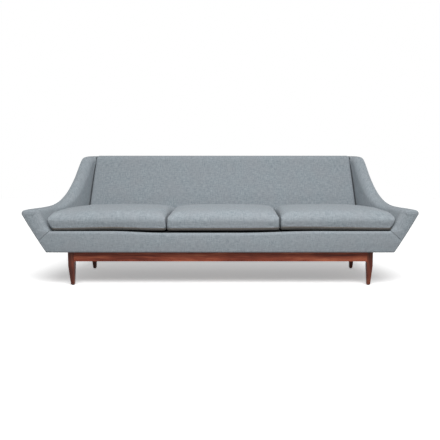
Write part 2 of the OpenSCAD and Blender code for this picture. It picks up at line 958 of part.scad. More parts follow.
// The notch in the wing that the back is let into
module back_slot() {
    intersection() {
        lean_frame()
            translate([-reach, -soft_fit, -over])
                cube([2 * reach, back_t, 2 * back_len]);
        along_depth(-over, foot_depth + reach)
            back_outline(soft_fit);
    }
}

module arm_pad_left() mirrored() arm_pad_right();

module arm_outer_panel_right() {
    color(WOOL)
        difference() {
            side_layer(0, panel_t, rail_front_d + 2 * soft_fit, shell_end_d, shell_z, wrap_h + soft_fit);
            behind_back(soft_fit);
        }
}

module arm_outer_panel_left() mirrored() arm_outer_panel_right();

// Cushions

cushion_front_d = cushion_set_back;
cushion_rear_d = back_foot_d + (cushion_z - shell_z) * tan(lean) - cushion_gap;

// A plan is [front left x, front right x, rear right x, rear left x]. A cushion has one at the top of its
// lower rounding and one where its outer side stops leaning out along the arm.
lean_from_z = cushion_z + cushion_low_r;
lean_to_z = cushion_z + cushion_lean_h;
function even_plan(from, to) = [from, to, to, from];
function arm_plan(from, gap, z) =
    [from, face_in(cushion_front_d, z) - gap, face_in(cushion_rear_d, z) - gap, from];
function both_plans(from, gap) = [for (z = [lean_from_z, lean_to_z]) arm_plan(from, gap, z)];

cushion_inner_x = (middle_w + cushion_gap) / 2;
middle_even = even_plan(
    cushion_shift - cushion_inner_x + cushion_gap,
    cushion_shift + cushion_inner_x - cushion_gap
);
middle_plans = [middle_even, middle_even];
right_plans = both_plans(cushion_inner_x + cushion_shift, cushion_gap);
// The left cushion is drawn on the right and mirrored
left_plans = both_plans(cushion_inner_x - cushion_shift, cushion_gap + cushion_shift);

function plan_at(plans, z) =
    plans[0] + (plans[1] - plans[0]) * min(1, max(0, (z - lean_from_z) / (lean_to_z - lean_from_z)));

function plan_corners(plan) = [
    [plan[0], cushion_front_d],
    [plan[1], cushion_front_d],
    [plan[2], cushion_rear_d],
    [plan[3], cushion_rear_d]
];
function unit(v) = v / norm(v);

// A corner rounded between its neighbours, then points on to the next corner
function rounded_corner(p, before, after) =
    let (
        a = unit(before - p),
        b = unit(after - p),
        half = acos(a * b) / 2,
        centre = p + unit(a + b) * corner_r / sin(half),
        start = p + a * corner_r / tan(half),
        stop = p + b * corner_r / tan(half)
    )
    [
        for (k = [0:CORNER_STEPS])
            let (q = start + (stop - start) * k / CORNER_STEPS) centre + unit(q - centre) * corner_r
    ];
function plan_outline(plan) =
    let (
        c = plan_corners(plan),
        arcs = [for (k = [0:3]) rounded_corner(c[k], c[(k + 3) % 4], c[(k + 1) % 4])]
    )
    [
        for (k = [0:3])
            let (stop = arcs[k][CORNER_STEPS], next = arcs[(k + 1) % 4][0])
            each concat(arcs[k], [for (j = [1:EDGE_STEPS - 1]) stop + (next - stop) * j / EDGE_STEPS])
    ];
function plan_middle(plan) = [
    (plan[0] + plan[1] + plan[2] + plan[3]) / 4,
    (cushion_front_d + cushion_rear_d) / 2
];
function plan_half(plan) = [
    (plan[1] + plan[2] - plan[0] - plan[3]) / 4,
    (cushion_rear_d - cushion_front_d) / 2
];

// One level of the cushion: its plan drawn in on all sides and lifted to a height, lower at the corners
function level(plans, inset, z, front_rise, corner_fall) =
    let (plan = plan_at(plans, z), mid = plan_middle(plan), half = plan_half(plan))
    [
        for (p = plan_outline(plan))
            let (
                shrink = [1 - inset / half.x, 1 - inset / half.y],
                q = p - mid,
                across = min(1, pow(q.x / half.x, 2)),
                along = min(1, pow(q.y / half.y, 2)),
                rise = q.y < 0 ? front_rise * (1 - across) * along * along : 0,
                fall = corner_fall * across * along * pow(shrink.x * shrink.y, 2)
            )
            [mid.x + q.x * shrink.x, front_y + mid.y + q.y * shrink.y, z + rise - fall]
    ];

module cushion_form(plans) {
    half = plan_half(plans[1]);
    top = cushion_z + cushion_edge_h;
    low = [
        for (k = [0:LEVEL_STEPS - 1])
            let (t = 90 * k / LEVEL_STEPS)
            level(
                plans, cushion_low_r * (1 - sin(t)), cushion_z + cushion_low_r * (1 - cos(t)),
                seam_rise * sin(t), 0
            )
    ];
    high = [
        for (k = [0:LEVEL_STEPS])
            let (t = 90 * k / LEVEL_STEPS)
            level(
                plans, cushion_top_r * (1 - cos(t)), top - cushion_top_r * (1 - sin(t)),
                0, corner_drop * sin(t)
            )
    ];
    crown = [
        for (s = crown_shares)
            let (inset = cushion_top_r + (min(half.x, half.y) - cushion_top_r) * (1 - s))
            level(plans, inset, top + crown_h * (1 - pow(s, crown_power)), 0, corner_drop)
    ];
    loft([for (r = concat(low, high, crown)) [for (k = [len(r) - 1:-1:0]) r[k]]]);
}

// The foam slab follows the plan, drawn in by the cover's thickness on every side
function core_points(plan, inset) =
    let (c = plan_corners(plan), mid = plan_middle(plan), half = plan_half(plan))
    [
        for (p = c)
            let (q = p - mid)
            [mid.x + q.x * (1 - inset / half.x), front_y + mid.y + q.y * (1 - inset / half.y)]
    ];

core_inset = cover_t + cushion_low_r;
core_z = cushion_z + cover_t;

module core_slab(plans, grow) {
    translate([0, 0, core_z - grow])
        linear_extrude(core_h + 2 * grow)
            polygon(core_points(plans[0], core_inset - grow));
}

// The zip lies along the rear edge, in a slot of the cover
zip_z = cushion_z + cushion_edge_h / 2;

module zip_strip(plans, grow) {
    plan = plan_at(plans, zip_z);
    mid = plan_middle(plan);
    l = 2 * plan_half(plan).x * zip_len_share;
    translate([mid.x - l / 2 - grow, front_y + cushion_rear_d - zip_t - 2 * grow, zip_z - zip_h / 2 - grow])
        cube([l + 2 * grow, zip_t + 2 * grow + (grow > 0 ? over : 0), zip_h + 2 * grow]);
}

// The slit behind the zip, through which the slab goes in
module zip_mouth(plans) {
    plan = plan_at(plans, zip_z);
    l = 2 * plan_half(plan).x * zip_len_share - 2 * zip_h;
    translate([
        plan_middle(plan).x - l / 2,
        front_y + cushion_rear_d - 2 * core_inset,
        zip_z - zip_h / 2 + zip_t
    ])
        cube([l, 3 * core_inset, zip_h - 2 * zip_t]);
}

module cushion_cover(plans) {
    color(WOOL)
        difference() {
            cushion_form(plans);
            core_slab(plans, soft_fit);
            zip_strip(plans, soft_fit);
            zip_mouth(plans);
        }
}

module cushion_core(plans) color(FOAM) core_slab(plans, 0);

module cushion_zip(plans) {
    color(NYLON)
        zip_strip(plans, 0);
}

module cushion_cover_left() mirrored() cushion_cover(left_plans);
module cushion_cover_middle() cushion_cover(middle_plans);
module cushion_cover_right() cushion_cover(right_plans);
module cushion_core_left() mirrored() cushion_core(left_plans);
module cushion_core_middle() cushion_core(middle_plans);
module cushion_core_right() cushion_core(right_plans);
module cushion_zip_left() mirrored() cushion_zip(left_plans);
module cushion_zip_middle() cushion_zip(middle_plans);
module cushion_zip_right() cushion_zip(right_plans);

leg_front_left();
leg_front_right();
leg_rear_left();
leg_rear_right();
stand_rail_front();
stand_rail_rear();
stand_rail_left();
stand_rail_right();
stand_cross_rail();
stand_corner_blocks();
stand_screws();
floor_glides();
seat_rail_front();
seat_rail_rear();
seat_rail_left();
seat_rail_right();
seat_cross_rails();
seat_corner_blocks();
seat_webbing();
seat_hessian();
seat_deck_pad();
front_border_pad();
dust_cover();
back_post_left();
back_post_right();
back_inner_posts();
back_top_rail();
back_low_rail();
back_hessian();
back_pad();
back_outer_panel();
arm_post_left();
arm_post_right();
arm_top_rail_left();
arm_top_rail_right();
arm_foot_rail_left();
arm_foot_rail_right();
wing_board_left();
wing_board_right();
arm_pad_left();
arm_pad_right();
arm_outer_panel_left();
arm_outer_panel_right();
cushion_cover_left();
cushion_cover_middle();
cushion_cover_right();
cushion_core_left();
cushion_core_middle();
cushion_core_right();
cushion_zip_left();
cushion_zip_middle();
cushion_zip_right();
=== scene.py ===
from math import acos, asin, atan2, copysign, cos, hypot, pi, radians, sin, sqrt, tan, tanh

import bmesh
import bpy
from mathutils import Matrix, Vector, interpolate, noise
from mathutils.bvhtree import BVHTree


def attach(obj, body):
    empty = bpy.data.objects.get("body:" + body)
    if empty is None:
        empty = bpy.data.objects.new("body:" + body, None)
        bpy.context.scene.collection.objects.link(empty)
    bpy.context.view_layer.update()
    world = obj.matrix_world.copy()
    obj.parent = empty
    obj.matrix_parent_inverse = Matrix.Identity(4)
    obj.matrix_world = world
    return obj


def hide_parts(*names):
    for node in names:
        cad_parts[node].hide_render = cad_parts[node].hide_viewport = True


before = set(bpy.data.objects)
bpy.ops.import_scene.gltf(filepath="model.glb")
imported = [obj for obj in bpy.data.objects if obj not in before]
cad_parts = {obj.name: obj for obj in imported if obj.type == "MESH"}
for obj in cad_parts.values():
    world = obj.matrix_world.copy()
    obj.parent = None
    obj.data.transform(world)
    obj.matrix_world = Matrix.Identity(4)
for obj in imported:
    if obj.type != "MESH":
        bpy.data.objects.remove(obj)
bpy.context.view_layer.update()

mm = 0.001  # the tables are in millimetres, the meshes in metres


# Helpers for nodes

def feed(tree, socket, value):
    if isinstance(value, bpy.types.NodeSocket):
        tree.links.new(value, socket)
    else:
        socket.default_value = value


def addNode(tree, kind, inputs=None, **settings):
    made = tree.nodes.new(kind)
    for key, value in settings.items():
        setattr(made, key, value)
    for key, value in (inputs or {}).items():
        feed(tree, made.inputs[key], value)
    return made


def mathNode(tree, operation, *values):
    made = addNode(tree, "ShaderNodeMath", dict(enumerate(values)), operation=operation)
    return made.outputs[0]


def summed(tree, *values):
    total = values[0]
    for value in values[1:]:
        total = mathNode(tree, "ADD", total, value)
    return total


def less(tree, first, second):
    return mathNode(tree, "SUBTRACT", first, second)


def times(tree, first, second):
    return mathNode(tree, "MULTIPLY", first, second)


def blendColours(tree, share, first, second, kind="MIX"):
    made = addNode(tree, "ShaderNodeMix", data_type="RGBA", blend_type=kind)
    for place, value in ((0, share), (6, first), (7, second)):  # the factor, and the sockets for colours
        feed(tree, made.inputs[place], value)
    return made.outputs[2]


# A colour as it is seen, 0 to 255, in the linear values that the shaders take.
def linear(red, green, blue, gain=1.0):
    def one(c):
        c = c / 255
        return gain * (c / 12.92 if c <= 0.04045 else ((c + 0.055) / 1.055) ** 2.4)

    return (one(red), one(green), one(blue), 1.0)


def newMaterial(name):
    made = bpy.data.materials.new(name)
    made.use_nodes = True
    made.node_tree.nodes.clear()
    return made, made.node_tree


def finishShader(tree, colour, roughness, height, bumpStrength, bumpDistance, **sockets):
    shader = addNode(tree, "ShaderNodeBsdfPrincipled", {"Base Color": colour, "Roughness": roughness})
    for key, value in sockets.items():
        shader.inputs[key.replace("_", " ")].default_value = value
    bump = addNode(tree, "ShaderNodeBump", {
        "Strength": bumpStrength, "Distance": bumpDistance, "Height": height,
    })
    tree.links.new(bump.outputs[0], shader.inputs["Normal"])
    addNode(tree, "ShaderNodeOutputMaterial", {0: shader.outputs[0]})


def noiseNode(tree, vector, scale, detail=2.0, roughness=0.5):
    made = addNode(tree, "ShaderNodeTexNoise", {
        "Vector": vector, "Scale": scale, "Detail": detail, "Roughness": roughness,
    })
    return made.outputs["Fac"]


def stretched(tree, vector, scale, turn=(0, 0, 0)):
    made = addNode(tree, "ShaderNodeMapping", {"Vector": vector, "Scale": scale, "Rotation": turn})
    return made.outputs[0]


def mapped(tree, value, fromRange, toRange):
    ends = dict(enumerate((*fromRange, *toRange), 1))
    return addNode(tree, "ShaderNodeMapRange", {0: value, **ends}).outputs[0]


# The sum of values, each with its share.
def weighed(tree, *pairs):
    return summed(tree, *(times(tree, value, share) for value, share in pairs))


# The look's colours along a value, each at its place from 0 to 1; the places are given from low to high.
def colourRamp(tree, value, look, places):
    ramp = addNode(tree, "ShaderNodeValToRGB", {0: value})
    stops = ramp.color_ramp.elements
    keys = list(places)
    for stop, key in ((stops[0], keys[0]), (stops[1], keys[-1])):
        stop.position, stop.color = places[key], linear(*look[key])
    for key in keys[1:-1]:
        stops.new(places[key]).color = linear(*look[key])
    return ramp.outputs[0]


# Materials

# What every plain weave shares: the scales are per metre of cloth
weave = {
    "slubs": ((520, 46, 1), (46, 520, 1)), "slubShare": 0.22,  # thick places along the warp and the weft
    "melange": 190.0, "melangeShare": 0.28,
    "streaks": ((34, 150, 1), (150, 34, 1)), "streakShare": 0.50,
    "toneSpread": 0.11,  # how far the dark and light stops lie from the middle one
    "patches": 7.0, "patchShare": 0.35, "fuzz": 900.0, "moundShare": 0.7,
    "roughness": 0.95, "bump": 0.45, "bumpDistance": 0.0006, "specular": 0.12,
}
wool = {
    "pitch": 0.0021,  # distance between threads, in metres
    "light": (174, 183, 188), "middle": (153, 162, 168), "dark": (128, 138, 145), "warm": (157, 160, 165),
    "contrast": 0.78, "sheen": 0.12,
}


# A plain weave on the piece's own cloth coordinates, in metres
def makeCloth(name, look):
    made, tree = newMaterial(name)
    place = addNode(tree, "ShaderNodeUVMap", uv_map="cloth").outputs[0]
    parts = addNode(tree, "ShaderNodeSeparateXYZ", {0: place})
    turns = pi / look["pitch"]
    waves = [mathNode(tree, "SINE", times(tree, parts.outputs[k], turns)) for k in (0, 1)]
    over = times(tree, *waves)  # above 0 the warp is on top, below 0 the weft
    mound = mathNode(tree, "ABSOLUTE", over)
    side = mathNode(tree, "GREATER_THAN", over, 0.0)
    warpSlub, weftSlub = (noiseNode(tree, stretched(tree, place, size), 1.0) for size in weave["slubs"])
    warp = times(tree, side, warpSlub)
    weft = times(tree, less(tree, 1.0, side), weftSlub)
    slub = summed(tree, warp, weft)
    melange = noiseNode(tree, place, weave["melange"], roughness=0.6)
    streaks = [noiseNode(tree, stretched(tree, place, size), 1.0, 1.0) for size in weave["streaks"]]
    streak = times(tree, summed(tree, *streaks), 0.5)
    shares = (weave["slubShare"], weave["melangeShare"], weave["streakShare"])
    tone = weighed(tree, *zip((slub, melange, streak), shares))
    reach = weave["toneSpread"] / look["contrast"]
    colours = colourRamp(tree, tone, look, {"dark": 0.5 - reach, "middle": 0.5, "light": 0.5 + reach})
    hue = mapped(tree, noiseNode(tree, place, weave["patches"]), (0.35, 0.65), (0.0, weave["patchShare"]))
    colour = blendColours(tree, hue, colours, linear(*look["warm"]))
    fuzz = noiseNode(tree, place, weave["fuzz"])
    height = weighed(tree, (mound, weave["moundShare"]), (fuzz, 1 - weave["moundShare"]))
    finishShader(
        tree, colour, weave["roughness"], height, weave["bump"], weave["bumpDistance"],
        Sheen_Weight=look["sheen"], Sheen_Roughness=0.5, Specular_IOR_Level=weave["specular"],
    )
    return made


# The same look, lighter or darker.
def toned(look, gain):
    return {key: tuple(min(255, c * gain) for c in value) if isinstance(value, tuple) else value
            for key, value in look.items()}


woolCloth = makeCloth("woolCloth", wool)
cushionCloth = makeCloth("cushionCloth", toned(wool, 1.02))  # the same wool painted lighter on the cushions, for the light that falls on their tops
# the same wool painted darker on the back, as painted shade for the light that falls less on it
backCloth = makeCloth("backCloth", toned(wool, 0.97))
liningCloth = makeCloth("liningCloth", {  # plain cotton on the undersides of the cushions, darkened as painted shade where it turns under their fronts
    "light": (134, 130, 126), "middle": (123, 119, 115), "dark": (111, 108, 104), "warm": (125, 118, 111),
    "pitch": 0.0012, "contrast": 1.0, "sheen": 0.1,
})
deckCloth = makeCloth("deckCloth", {  # plain dark cloth over the deck, made darker still as painted shade for the gaps round the cushions
    "light": (66, 68, 71), "middle": (56, 58, 61), "dark": (47, 49, 52), "warm": (58, 56, 56),
    "pitch": 0.0014, "contrast": 1.0, "sheen": 0.05,
})
blackCloth = makeCloth("blackCloth", {
    "light": (40, 40, 42), "middle": (31, 31, 33), "dark": (22, 22, 24), "warm": (34, 32, 31),
    "pitch": 0.0012, "contrast": 1.0, "sheen": 0.05,
})
hessianCloth = makeCloth("hessianCloth", {
    "light": (186, 160, 112), "middle": (160, 134, 90), "dark": (120, 97, 62), "warm": (150, 122, 80),
    "pitch": 0.0030, "contrast": 1.4, "sheen": 0.1,
})
webCloth = makeCloth("webCloth", {
    "light": (196, 172, 124), "middle": (172, 146, 100), "dark": (132, 108, 70), "warm": (160, 132, 88),
    "pitch": 0.0024, "contrast": 1.3, "sheen": 0.1,
})

# Wood with its grain along one axis of the piece; the scales are per metre along and across the grain
grainTurns = {"x": (0, 0, 0), "y": (0, 0, radians(90)), "z": (0, radians(90), 0)}
timber = {
    "bends": (2.2, 9, 9), "bendReach": (0.0, 0.05, 0.05), "figure": (1.6, 46, 46), "patches": (4.5, 20, 20),
    "pores": (30, 1500, 1500), "figureShare": 0.62, "glossSpread": 0.07,
    "stops": {"streak": 0.36, "dark": 0.44, "middle": 0.53, "light": 0.66},
    "bump": 0.18, "bumpDistance": 0.0004, "specular": 0.22,
}


def makeWood(name, grain, look):
    made, tree = newMaterial(name)
    start = tree.nodes.new("ShaderNodeTexCoord").outputs["Object"]
    place = stretched(tree, start, (1, 1, 1), grainTurns[grain])
    bend = addNode(tree, "ShaderNodeTexNoise", {
        "Vector": stretched(tree, place, timber["bends"]), "Scale": 1.0, "Detail": 2.0,
    })
    shift = addNode(tree, "ShaderNodeVectorMath", {0: bend.outputs["Color"], 1: timber["bendReach"]},
                    operation="MULTIPLY")
    wavy = addNode(tree, "ShaderNodeVectorMath", {0: place, 1: shift.outputs[0]}, operation="ADD").outputs[0]
    figure = noiseNode(tree, stretched(tree, wavy, timber["figure"]), 1.0, 4.0, 0.6)
    patches = noiseNode(tree, stretched(tree, wavy, timber["patches"]), 1.0, 3.0, 0.6)
    pores = noiseNode(tree, stretched(tree, place, timber["pores"]), 1.0, 2.0, 0.7)
    tone = weighed(tree, (figure, timber["figureShare"]), (patches, 1 - timber["figureShare"]))
    colours = colourRamp(tree, tone, look, timber["stops"])
    poreShade = mapped(tree, pores, (0.30, 0.44), (look["pores"], 1.0))
    shaded = blendColours(tree, 1.0, colours, poreShade, "MULTIPLY")
    gloss = mapped(tree, figure, (0.3, 0.7), (look["gloss"] + timber["glossSpread"], look["gloss"]))
    finishShader(tree, shaded, gloss, pores, timber["bump"], timber["bumpDistance"],
                 Coat_Weight=look["coat"], Coat_Roughness=0.32, Specular_IOR_Level=timber["specular"])
    return made


rosewood = {
    "streak": (62, 24, 17), "dark": (100, 44, 31), "middle": (136, 68, 49), "light": (172, 100, 74),
    "pores": 0.66, "gloss": 0.42, "coat": 0.05,
}
beech = {
    "streak": (176, 136, 96), "dark": (196, 158, 116), "middle": (208, 172, 130), "light": (220, 187, 146),
    "pores": 0.90, "gloss": 0.55, "coat": 0.0,
}
paintedWoodLight = {"x": 1.20, "y": 1.20, "z": 0.81}  # one rosewood in lit and shaded copies: the rails painted lighter for the light on them, the legs painted darker
darkWood = {
    axis: makeWood("darkWood" + axis.upper(), axis, toned(rosewood, gain)) for axis, gain in paintedWoodLight.items()
}
paleWood = {axis: makeWood("paleWood" + axis.upper(), axis, beech) for axis in "xyz"}


# A finish of one colour, a little lighter and darker, smoother and rougher from place to place.
def makePlain(name, colour, roughness, grainScale, bumpDistance, spread=0.08, **sockets):
    made, tree = newMaterial(name)
    place = tree.nodes.new("ShaderNodeTexCoord").outputs["Object"]
    fine = noiseNode(tree, place, grainScale, 3.0, 0.6)
    shade = mapped(tree, fine, (0.3, 0.7), (1 - spread, 1 + spread))
    mixed = blendColours(tree, 1.0, linear(*colour), shade, "MULTIPLY")
    worn = mapped(tree, fine, (0.3, 0.7), (roughness, min(1, roughness + 0.12)))
    finishShader(tree, mixed, worn, fine, 0.4, bumpDistance, **sockets)
    return made


foamMaterial = makePlain("foamYellow", (232, 220, 176), 0.9, 900.0, 0.0008)
steelMaterial = makePlain("zincSteel", (176, 178, 182), 0.32, 500.0, 0.00005, Metallic=1.0)
nylonMaterial = makePlain("nylonDark", (46, 44, 42), 0.45, 700.0, 0.00008, 0.05)
zipTapeCloth = makeCloth("zipTapeCloth", {
    "light": (112, 122, 129), "middle": (100, 110, 117), "dark": (86, 96, 103), "warm": (104, 106, 110),
    "pitch": 0.0008, "contrast": 1.0, "sheen": 0.05,
})
print("materials made")


# Helpers for meshes

def makeObject(name, mesh):
    made = bpy.data.objects.new(name, mesh)
    bpy.context.scene.collection.objects.link(made)
    return made


def smoothBy(obj, degrees):
    obj.data.polygons.foreach_set("use_smooth", [True] * len(obj.data.polygons))
    obj.data.set_sharp_from_angle(angle=radians(degrees))


# Points in mm; cloth gives each face's corners their place on the flat cloth, in mm.
def meshFrom(name, points, faces, cloth=None):
    mesh = bpy.data.meshes.new(name)
    mesh.from_pydata([(p[0] * mm, p[1] * mm, p[2] * mm) for p in points], [], faces)
    layer = mesh.uv_layers.new(name="cloth")
    if cloth is not None:
        flat = [value * mm for corners in cloth for corner in corners for value in corner]
        layer.data.foreach_set("uv", flat)
    mesh.update()
    return mesh


# Cloth coordinates by the axis that each face looks along.
def boxCloth(mesh):
    layer = mesh.uv_layers.get("cloth") or mesh.uv_layers.new(name="cloth")
    for face in mesh.polygons:
        n = [abs(c) for c in face.normal]
        a, b = ((1, 2), (0, 2), (0, 1))[n.index(max(n))]
        for loop in face.loop_indices:
            co = mesh.vertices[mesh.loops[loop].vertex_index].co
            layer.data[loop].uv = (co[a], co[b])


def gap(a, b):
    return sqrt(sum((p - q) ** 2 for p, q in zip(a, b)))


def limited(t, low=0.0, high=1.0):
    return min(high, max(low, t))


def between(a, b, t):
    return a + (b - a) * t


# From 0 at a to 1 at b, with a soft start and end.
def fade(a, b, t):
    t = limited((t - a) / (b - a))
    return t * t * (3 - 2 * t)


def spread(start, stop, steps):
    return [start + (stop - start) * k / steps for k in range(steps + 1)]


# A smooth random value between -1 and 1, always the same for a place.
def ripple(*place):
    return noise.noise(Vector(place))


# Points on the way from start to stop, without the last.
def line(start, stop, steps):
    return [tuple(a + (b - a) * k / steps for a, b in zip(start, stop)) for k in range(steps)]


# How far an edge rounded with a radius falls back at a distance from its end.
def rounding(radius, distance):
    if distance >= radius:
        return 0.0
    return radius - sqrt(max(0.0, radius * radius - (radius - distance) ** 2))


# The corners of each face between rings of n points, as (row, place); a place n is the ring's first one.
def ringCorners(rows, n):
    return [((r, j), (r, j + 1), (r + 1, j + 1), (r + 1, j)) for r in range(rows - 1) for j in range(n)]


# The faces between a centre and the ring of n points that starts at a base.
def fan(centre, base, n, order):
    return [(centre, base + j, base + (j + 1) % n)[::order] for j in range(n)]


# A closed tube through rings of equal count, with its cloth laid along it, or level along x.
def loftMesh(name, rings, caps=True, level=False):
    n = len(rings[0])
    points, faces, cloth = [p for ring in rings for p in ring], [], []
    across = [[0.0] for _ in rings]
    for row, ring in enumerate(rings):
        for j in range(n):
            across[row].append(across[row][-1] + gap(ring[j], ring[(j + 1) % n]))
    along = [[0.0] * (n + 1)]
    for row in range(1, len(rings)):
        along.append([
            along[-1][j] + gap(rings[row][j % n], rings[row - 1][j % n]) for j in range(n + 1)
        ])
    if level:
        along = [[ring[j % n][0] for j in range(n + 1)] for ring in rings]
    for corners in ringCorners(len(rings), n):
        faces.append(tuple(r * n + c % n for r, c in corners))
        cloth.append(tuple((along[r][c], across[r][c]) for r, c in corners))
    if caps:
        for row, order in ((0, -1), (len(rings) - 1, 1)):
            points.append(tuple(sum(p[i] for p in rings[row]) / n for i in range(3)))
            faces += fan(len(points) - 1, row * n, n, order)
            cloth += [tuple((points[c][0], points[c][2]) for c in face) for face in faces[-n:]]
    return meshFrom(name, points, faces, cloth)


# Turns a closed shape the right way out.
def outward(obj):
    work = bmesh.new()
    work.from_mesh(obj.data)
    bmesh.ops.recalc_face_normals(work, faces=work.faces)
    work.to_mesh(obj.data)
    work.free()


# A closed shape, smooth over the edges below an angle where one is given.
def closedObject(name, mesh, smooth=None):
    made = makeObject(name, mesh)
    outward(made)
    if smooth is not None:
        smoothBy(made, smooth)
    return made


def lofted(name, rings, smooth=None, level=False):
    return closedObject(name, loftMesh(name, rings, level=level), smooth)


def discard(*objects):
    for obj in objects:
        mesh = obj.data
        bpy.data.objects.remove(obj)
        bpy.data.meshes.remove(mesh)


def applyModifiers(obj):
    evaluated = obj.evaluated_get(bpy.context.evaluated_depsgraph_get())
    mesh = bpy.data.meshes.new_from_object(evaluated)
    old = obj.data
    obj.modifiers.clear()
    obj.data = mesh
    bpy.data.meshes.remove(old)
    mesh.name = obj.name


def cutAway(obj, cutters):
    for cutter in cutters:
        step = obj.modifiers.new("cut", "BOOLEAN")
        step.operation, step.solver, step.object = "DIFFERENCE", "MANIFOLD", cutter
    applyModifiers(obj)
    discard(*cutters)


# A cutter in mm, drawn as (y, z) for axis x, as (x, z) for axis y and as (x, y) for axis z.
def prism(name, outline, axis, start, stop):
    n, at = len(outline), "xyz".index(axis)
    points = [(*p[:at], t, *p[at:]) for t in (start, stop) for p in outline]
    faces = [tuple(range(n)), tuple(range(2 * n - 1, n - 1, -1))]
    faces += [(j, j + n, (j + 1) % n + n, (j + 1) % n) for j in range(n)]
    return closedObject(name, meshFrom(name, points, faces))


# A copy of a solid, with its doubled points joined and its flat faces made whole.
def copySolid(node, name, flat=0.0):
    made = makeObject(name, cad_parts[node].data.copy())
    work = bmesh.new()
    work.from_mesh(made.data)
    bmesh.ops.remove_doubles(work, verts=work.verts, dist=0.00002)
    if flat:
        bmesh.ops.dissolve_limit(work, angle_limit=flat, verts=work.verts, edges=work.edges)
    work.to_mesh(made.data)
    work.free()
    return made


# The same piece on the other side of the sofa.
def mirrorMesh(source, name, axis=0, middle=0.0):
    mesh = source.data.copy()
    mesh.name = name
    for v in mesh.vertices:
        v.co[axis] = 2 * middle - v.co[axis]
    mesh.flip_normals()
    return makeObject(name, mesh)


# What a piece is: its body, and the solids it stands for, which are hidden; the slot and the fill are not
# used.
def declare(obj, body, slot, *nodes, fill=None):
    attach(obj, body)
    if nodes:
        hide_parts(*nodes)


def dress(obj, material, body, slot, *nodes, fill=None):
    obj.data.materials.clear()
    obj.data.materials.append(material)
    declare(obj, body, slot, *nodes, fill=fill)


# A piece of the right side and its mirror on the left, dressed alike.
def dressPair(right, name, material, slot, node, fill=None):
    left = mirrorMesh(right, name + "_left")
    for piece, sideName in ((right, "right"), (left, "left")):
        dress(piece, material, "sofa", slot, node + sideName, fill=fill)


# The shell's form, as in the solids; d is the depth behind the front plane

shell = {
    "footWidth": 2056, "crestWidth": 2292, "wingCrestWidth": 1900, "footDepth": 640,
    "underside": 207, "armHeight": 460, "wingHeight": 777,
    "sweepStart": 205, "sweepEnd": 640, "wingCorner": 22, "wingDepth": 680,
    "outerRoll": 18, "innerRoll": 34, "rollGapFront": 48, "rollGapWing": 20,
    "footThickFront": 92, "footThickWing": 98, "panelThick": 5, "boardThick": 29,
    "crestPad": 24, "wrapHeight": 46, "lean": radians(16), "clear": 0.4, "belly": 3.6,
    "backThick": 98, "borderThick": 34, "borderHeight": 126, "railHeight": 91,
    "endDepth": 840,  # the arms are drawn as far as this, and cut off behind the back
}
footX = shell["footWidth"] / 2
under = shell["underside"]
clear = shell["clear"]
padTop = under + shell["borderHeight"]
railTop = under + shell["railHeight"]
leanSin, leanCos, leanTan = sin(shell["lean"]), cos(shell["lean"]), tan(shell["lean"])
backDeep = shell["backThick"] / leanCos  # the back's thickness, measured level
frontY = -(shell["footDepth"] + (shell["wingHeight"] - shell["outerRoll"] - under) * leanTan) / 2


# Half the width at the crest.
def crestX(d):
    t = d / shell["wingDepth"]
    narrowed = (shell["crestWidth"] - shell["wingCrestWidth"]) / 2
    return shell["crestWidth"] / 2 - narrowed * (0.5 * t + 0.5 * t * t)


# The smaller of two values, with a soft change from one to the other.
def softLeast(a, b, k):
    return (a + b - sqrt((a - b) ** 2 + 4 * k * k)) / 2


# The height of the crest, which sweeps up into the wing.
def crestZ(d):
    lift = shell["wingHeight"] - shell["armHeight"]
    t = max(0.0, d - shell["sweepStart"]) / (shell["sweepEnd"] - shell["sweepStart"])
    return shell["armHeight"] + softLeast(lift * t ** 3, lift, shell["wingCorner"])


# The cosine of the crest's slope: sections are drawn square to the crest and stretched by it.
def squeeze(d):
    return 1 / sqrt(1 + ((crestZ(d + 2) - crestZ(d - 2)) / 4) ** 2)


def depthShare(d):
    return min(1.0, d / shell["wingDepth"])


def rollGap(d):
    return between(shell["rollGapFront"], shell["rollGapWing"], depthShare(d))


def footInX(d):
    thickened = (shell["footThickWing"] - shell["footThickFront"]) * depthShare(d)
    return footX - shell["footThickFront"] - thickened


# The centres of the two rolls in a section, as (x, height above the foot).
def outRoll(d):
    return crestX(d), (crestZ(d) - under) * squeeze(d) - shell["outerRoll"]


def inRoll(d):
    return crestX(d) - rollGap(d), (crestZ(d) - under) * squeeze(d) - shell["innerRoll"]


# The angle of a face that rises from its foot and touches a roll.
def faceAngle(foot, roll, r):
    return atan2(roll[1], roll[0] - foot) - asin(r / hypot(roll[0] - foot, roll[1]))


def outAngle(d):
    return faceAngle(footX, outRoll(d), shell["outerRoll"])


def inAngle(d):
    return faceAngle(footInX(d), inRoll(d), -shell["innerRoll"])


# Where the outer and the inner face lie at a height.
def faceOut(d, z):
    return footX + (z - under) * squeeze(d) / tan(outAngle(d))


def faceIn(d, z):
    return footInX(d) + (z - under) * squeeze(d) / tan(inAngle(d))


# The depth of the leaning rear at a height.
def rearDepth(z):
    return shell["footDepth"] + (z - under) * leanTan


# How far the outer face bellies out, where the fabric is pulled over its padding.
def sag(d, z):
    t = (z - under) / max(1.0, crestZ(d) - under)
    return shell["belly"] * sin(pi * limited(t)) * (1 - 0.6 * fade(200, 600, d))


# The outer face as it is upholstered.
def skinOut(d, z):
    return faceOut(d, z) + sag(d, z)


# A layer that follows the outer face, from one distance inside it to another.
def slabCutter(name, near, far, frontDepth, low, drop):
    rings = []
    depths = [frontDepth] + [d for d in spread(0, shell["endDepth"], 84) if d > frontDepth + 2]
    for d in depths:
        top = crestZ(d) - drop / squeeze(d)
        corners = ((near, low), (near, top), (far, top), (far, low))
        rings.append([(faceOut(d, z) - off, frontY + d, z) for off, z in corners])
    return lofted(name, rings)


# Arms and wings

